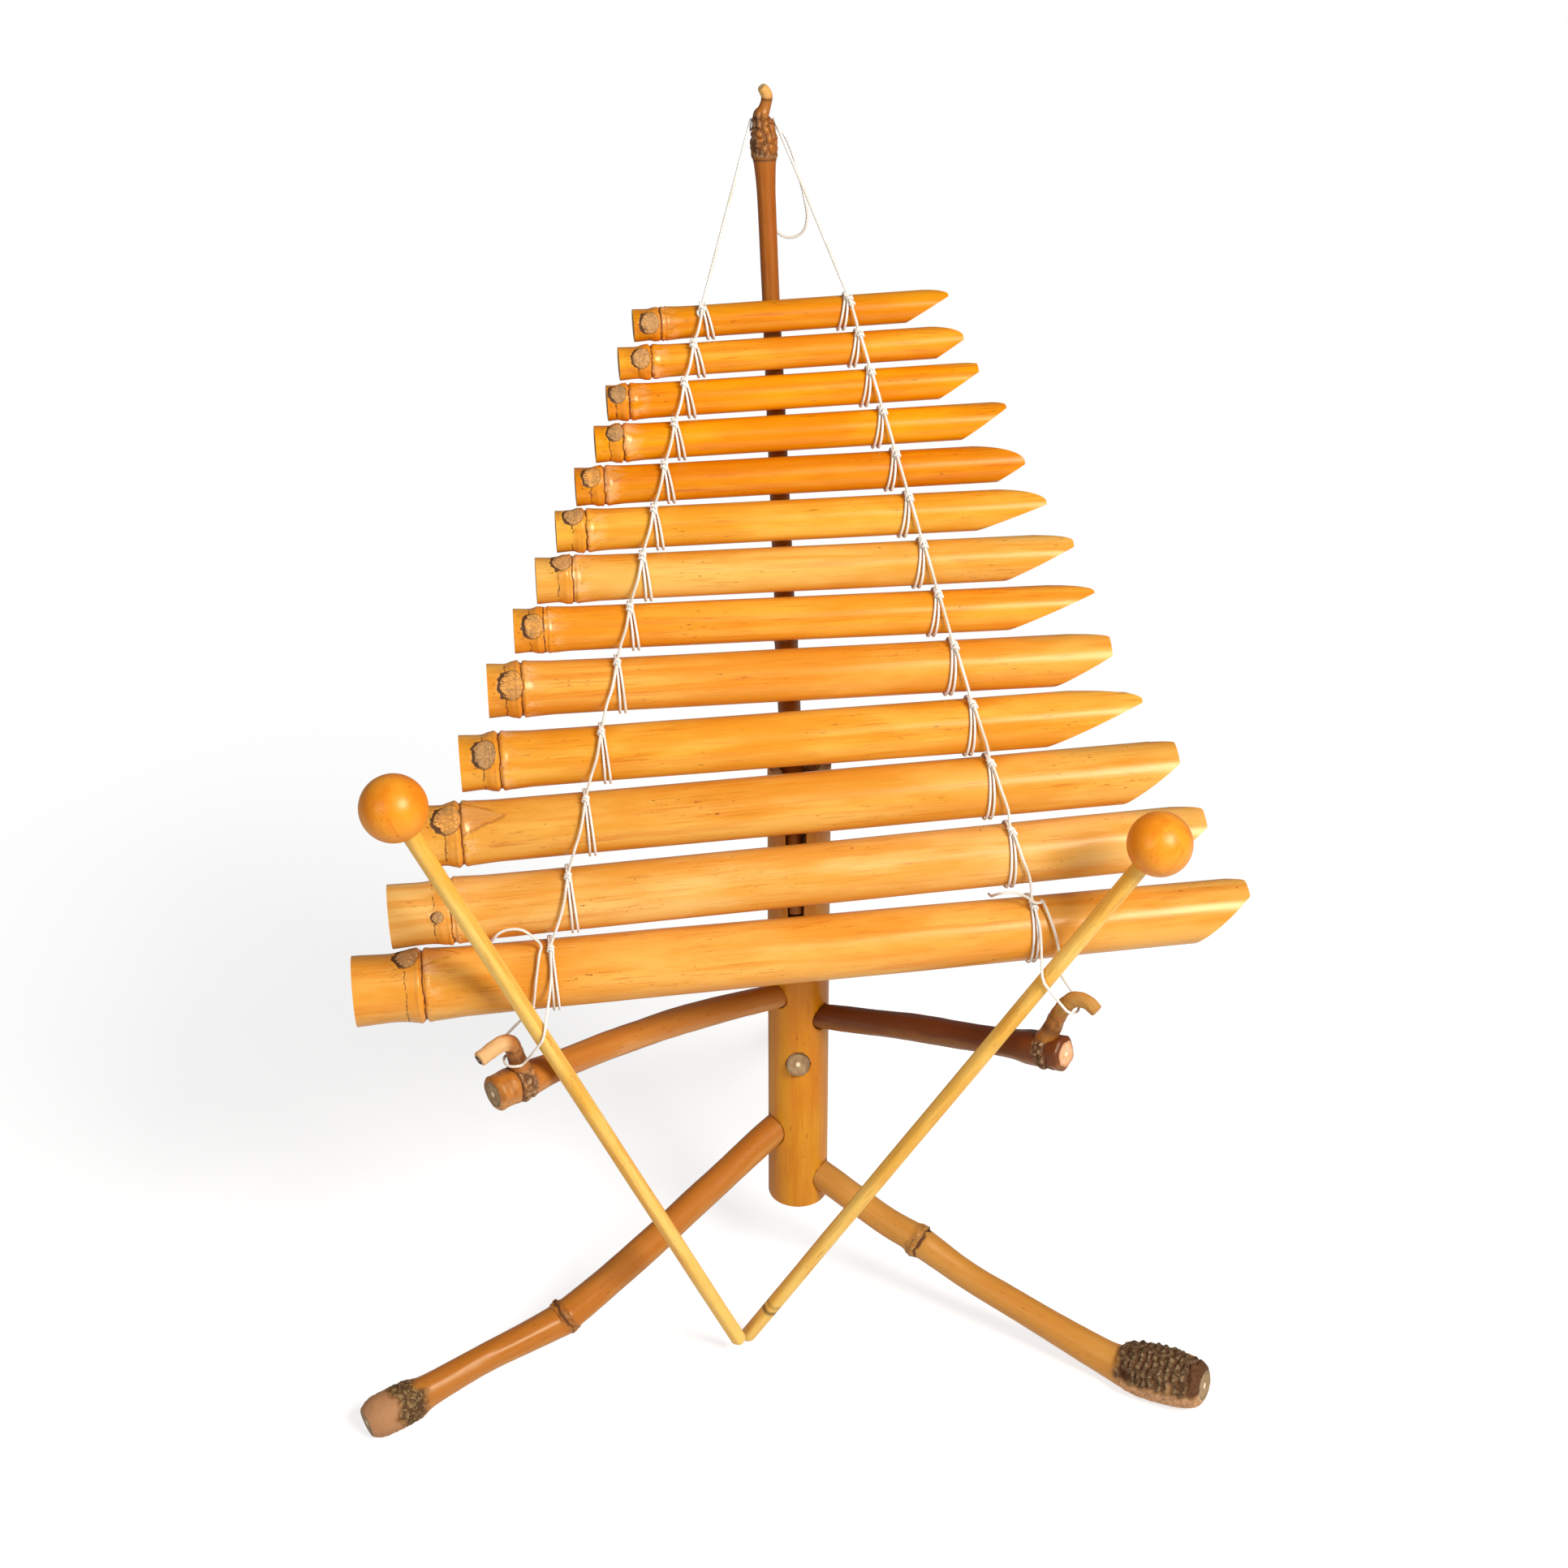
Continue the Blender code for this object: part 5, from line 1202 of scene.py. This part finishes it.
def tail_points(side):
    start = cord_x(side, DROPS[LAST] - KEYS[LAST].diameter / 2.0 * MM) + side * 3.6 * MM
    if side < 0:
        arch = ((-2.2, 5.4, 57.0), (-6.0, 8.6, 60.0), (-10.5, 9.8, 59.0), (-14.0, 9.0, 58.0), (-16.2, 6.0, 60.0),
                (-17.0, 2.7, 72.0), (-17.3, 1.2, 90.0), (-17.4, 2.1, 106.0))
    else:
        arch = ((-1.0, 3.4, 46.0), (-3.6, 4.8, 44.0), (-6.6, 5.8, 52.0), (-11.0, 6.4, 58.0), (-14.4, 5.4, 62.0),
                (-16.2, 3.2, 72.0), (-16.9, 1.4, 88.0), (-17.1, 2.1, 106.0))
    rows = []
    for along, lift, turn in arch:
        x = start + along * MM
        reach = key_radius(LAST, (x - LEFTS[LAST]) / LENGTHS[LAST]) + lift * MM
        turn = math.radians(turn)
        rows.append(PLACES[LAST] @ Vector((x, reach * math.sin(turn), reach * math.cos(turn))))
    return rows


def knob_ring(centre, angles):
    ring = MAST_KNOB_D / 2.0 + GAP + CORD_D / 2.0 + 0.3 * MM
    return [centre + Vector((math.cos(math.radians(a)), math.sin(math.radians(a)), 0.0)) * ring for a in angles]


HANG_LOOP = ((-0.8, 58.8, 463.6), (1.8, 59.2, 460.4), (4.0, 59.0, 455.4), (5.8, 58.6, 449.8), (7.4, 58.2, 443.8),
             (8.8, 57.8, 437.6), (9.6, 57.4, 431.6), (8.6, 57.2, 426.8), (5.4, 57.1, 424.4), (1.4, 57.0, 424.6),
             (-2.2, 57.0, 427.6), (-4.2, 57.2, 433.0), (-5.0, 57.8, 440.4), (-5.3, 58.4, 448.2), (-5.6, 59.0, 456.0),
             (-5.8, 59.4, 461.6))


def nearest(rows, place):
    return min(range(len(rows)), key=lambda i: (rows[i] - place).length_squared)


def make_run(side, word, finish):
    """The cord of one side in pieces: a key's own stretch moves with the key, and the rest with the stand."""
    tie = STAND @ mast_point(MAST_TIE_Z + 0.6 * MM)
    points = knob_ring(tie, (90.0, 108.0, 144.0, 180.0) if side < 0 else (90.0, 72.0, 36.0, 0.0))
    for index in range(LAST):
        points += run_points(index, side)
    loop = loop_points(side)
    rows = fine(points + loop + tail_points(side))
    lanes = lanes_of(rows)
    crossings = [run_points(index, side) for index in range(LAST)] + [loop[:3]]
    high = [nearest(rows, crossing[0]) for crossing in crossings]
    low = [nearest(rows, crossing[-1]) for crossing in crossings]
    middle = [(top + bottom) // 2 for top, bottom in zip(high, low)]
    gaps = [(bottom + top) // 2 for bottom, top in zip(low, high[1:])]
    wrap = [nearest(rows, place) for place in (loop[6], loop[-8])]
    back = nearest(rows, loop[-4])
    knob = nearest(rows, points[3])

    parts = [(0, knob, "stand", None, 0, 0)]
    for index in range(len(KEYS)):
        body = f"hung_key_{index + 1:02d}"
        before = knob if index == 0 else gaps[index - 1]
        after = gaps[index] if index < LAST else wrap[0]
        parts.append((before, middle[index], "stand", body, before, high[index]))
        parts.append((middle[index], after, body, "stand", low[index], after))
    last = f"hung_key_{len(KEYS):02d}"
    parts.append((wrap[0], wrap[1], "stand", None, 0, 0))
    parts.append((wrap[1], back, "stand", last, wrap[1], back))
    parts.append((back, len(rows) - 1, last, None, 0, 0))
    for number, (first, final, near, far, start, end) in enumerate(parts):
        skin = Skin()
        caps = (first == 0, final == len(rows) - 1)
        add_cord(skin, rows[first:final + 1], lanes[first:final + 1], CORD_D, caps)
        replaced = ("ladder_cord",) if side < 0 and number == 0 else ()
        made = skin.done(f"run_{word}_{number:02d}", None if far else near, [finish], "cotton_cord", replaced, sharp=0.0)
        if far:
            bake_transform(made)
    return rows, lanes, high


def make_cords(finish):
    for side, word in ((-1, "left"), (1, "right")):
        rows, lanes, high = make_run(side, word, finish)
        for index in range(len(KEYS)):
            number = f"{index + 1:02d}"
            skin = Skin()
            winding = winding_rows(index, side)
            add_cord(skin, winding, lanes_of(winding), SLING_D)
            hitch = hitch_rows(rows, lanes, high[index])
            add_cord(skin, hitch, lanes_of(hitch), SLING_D)
            skin.done(f"winding_{word}_{number}", f"hung_key_{number}", [finish], "cotton_cord",
                      (f"sling_{word}_{number}",), sharp=0.0)
    tie = mast_point(MAST_TIE_Z + 2.4 * MM)
    first, last = knob_ring(tie, (64.0, 108.0))
    rows = fine([STAND @ point for point in [first] + [Vector(point) * MM for point in HANG_LOOP] + [last]])
    skin = Skin()
    add_cord(skin, rows, lanes_of(rows), CORD_D)
    loop = skin.done("spare_loop", "stand", [finish], "cotton_cord", ("hang_loop",), sharp=0.0)


# The mallets
def lathe(name, frame_matrix, profile, sides, body, materials, slot, replaced, marks=None):
    """Turn (radius, z, material) rows round Z, the first and the last on the axis."""
    skin = Skin()
    loops = []
    for radius, z, _ in profile[1:-1]:
        loop = []
        for k in range(sides):
            turn = 2.0 * math.pi * k / sides
            size, mark = marks(radius, z, turn) if marks else (radius, (0.0, 0.0, 0.0))
            spot = Vector((size * math.cos(turn), size * math.sin(turn), z))
            loop.append(skin.point(frame_matrix @ spot, (z, spot.x, spot.y), mark))
        loops.append(loop)
    for near, far, row in zip(loops, loops[1:], profile[2:]):
        skin.band(near, far, row[2])
    for loop, row in ((loops[0], profile[0]), (loops[-1], profile[-1])):
        skin.fan(loop, skin.point(frame_matrix @ Vector((0.0, 0.0, row[1])), (row[1], 0.0, 0.0)), row[2])
    return skin.done(name, body, materials, slot, replaced)


def make_mallets(cut):
    pale = skin_material("shaft_skin", (0.88, 0.50, 0.085), 120.0, roughness=0.4, fibre=1.1)
    wood = skin_material("ball_skin", (0.82, 0.27, 0.010), 130.0, roughness=0.33, fibre=0.8)
    for word, (tip, ball) in MALLETS.items():
        along = (ball - tip).normalized()
        place = STAND @ Matrix.Translation(ball) @ along.to_track_quat("Z", "Y").to_matrix().to_4x4()
        reach = (ball - tip).length
        half = SHAFT_D / 2.0
        top = SOCKET_DEPTH - BALL_D / 2.0 - GAP
        profile = [(0.0, -reach, 1), (half * 0.86, -reach, 1)]
        count = 160
        start = -reach + 1.0 * MM
        for k in range(count + 1):
            z = start + (top - start) * k / count
            profile.append((half * min(1.0, 0.98 + 0.02 * (z - start) / (33.0 * MM)), z, 0))
        profile.append((0.0, top, 1))
        scored = (-reach + 19.0 * MM, -reach + 23.0 * MM)

        def shaft_marks(radius, z, turn, scored=scored):
            square = 0.045 * math.cos(4.0 * turn + 0.6)
            bend = rough(z, turn, 30.0 * MM, 0.03 * radius, 3.0)
            dark = max(hump(z, score, 0.5 * MM) for score in scored)
            return radius * (0.955 + square) + bend, (0.8 * dark, 0.0, 0.0)

        lathe(f"{word}_mallet_stick", place, profile, 32, f"{word}_mallet", [pale, cut], "split_bamboo",
              (f"{word}_mallet_shaft",), shaft_marks)
        radius = BALL_D / 2.0
        bore = half + GAP
        mouth = -math.sqrt(radius ** 2 - bore ** 2)
        floor = SOCKET_DEPTH - radius
        first = math.asin(mouth / radius)
        profile = [(0.0, floor, 0), (bore, floor, 0), (bore, mouth, 0)]
        steps = 48
        for k in range(1, steps):
            turn = first + (math.pi / 2.0 - first) * k / steps
            profile.append((radius * math.cos(turn), radius * math.sin(turn), 0))
        profile.append((0.0, radius, 0))
        lathe(f"{word}_mallet_head", place, profile, 64, f"{word}_mallet", [wood], "ball_wood", (f"{word}_mallet_ball",))


def main():
    camera()
    stage()
    cotton = cotton_material()
    make_cords(cotton)
    make_stand()
    cut = cut_material("key_cut", (0.80, 0.52, 0.22), (0.42, 0.20, 0.05), 5.0)
    inside = cut_material("key_inside", (0.60, 0.38, 0.16), (0.30, 0.15, 0.05), 6.0)
    for index in range(len(KEYS)):
        look = LOOKS[index]
        ridge = ridge_length(KEYS[index]) / MM
        finish = skin_material(f"key_{index + 1:02d}_skin", look.colour, 1.7 * index, look=look, ridge=ridge)
        make_key(index, finish, (cut, inside))
    make_mallets(cut)


main()
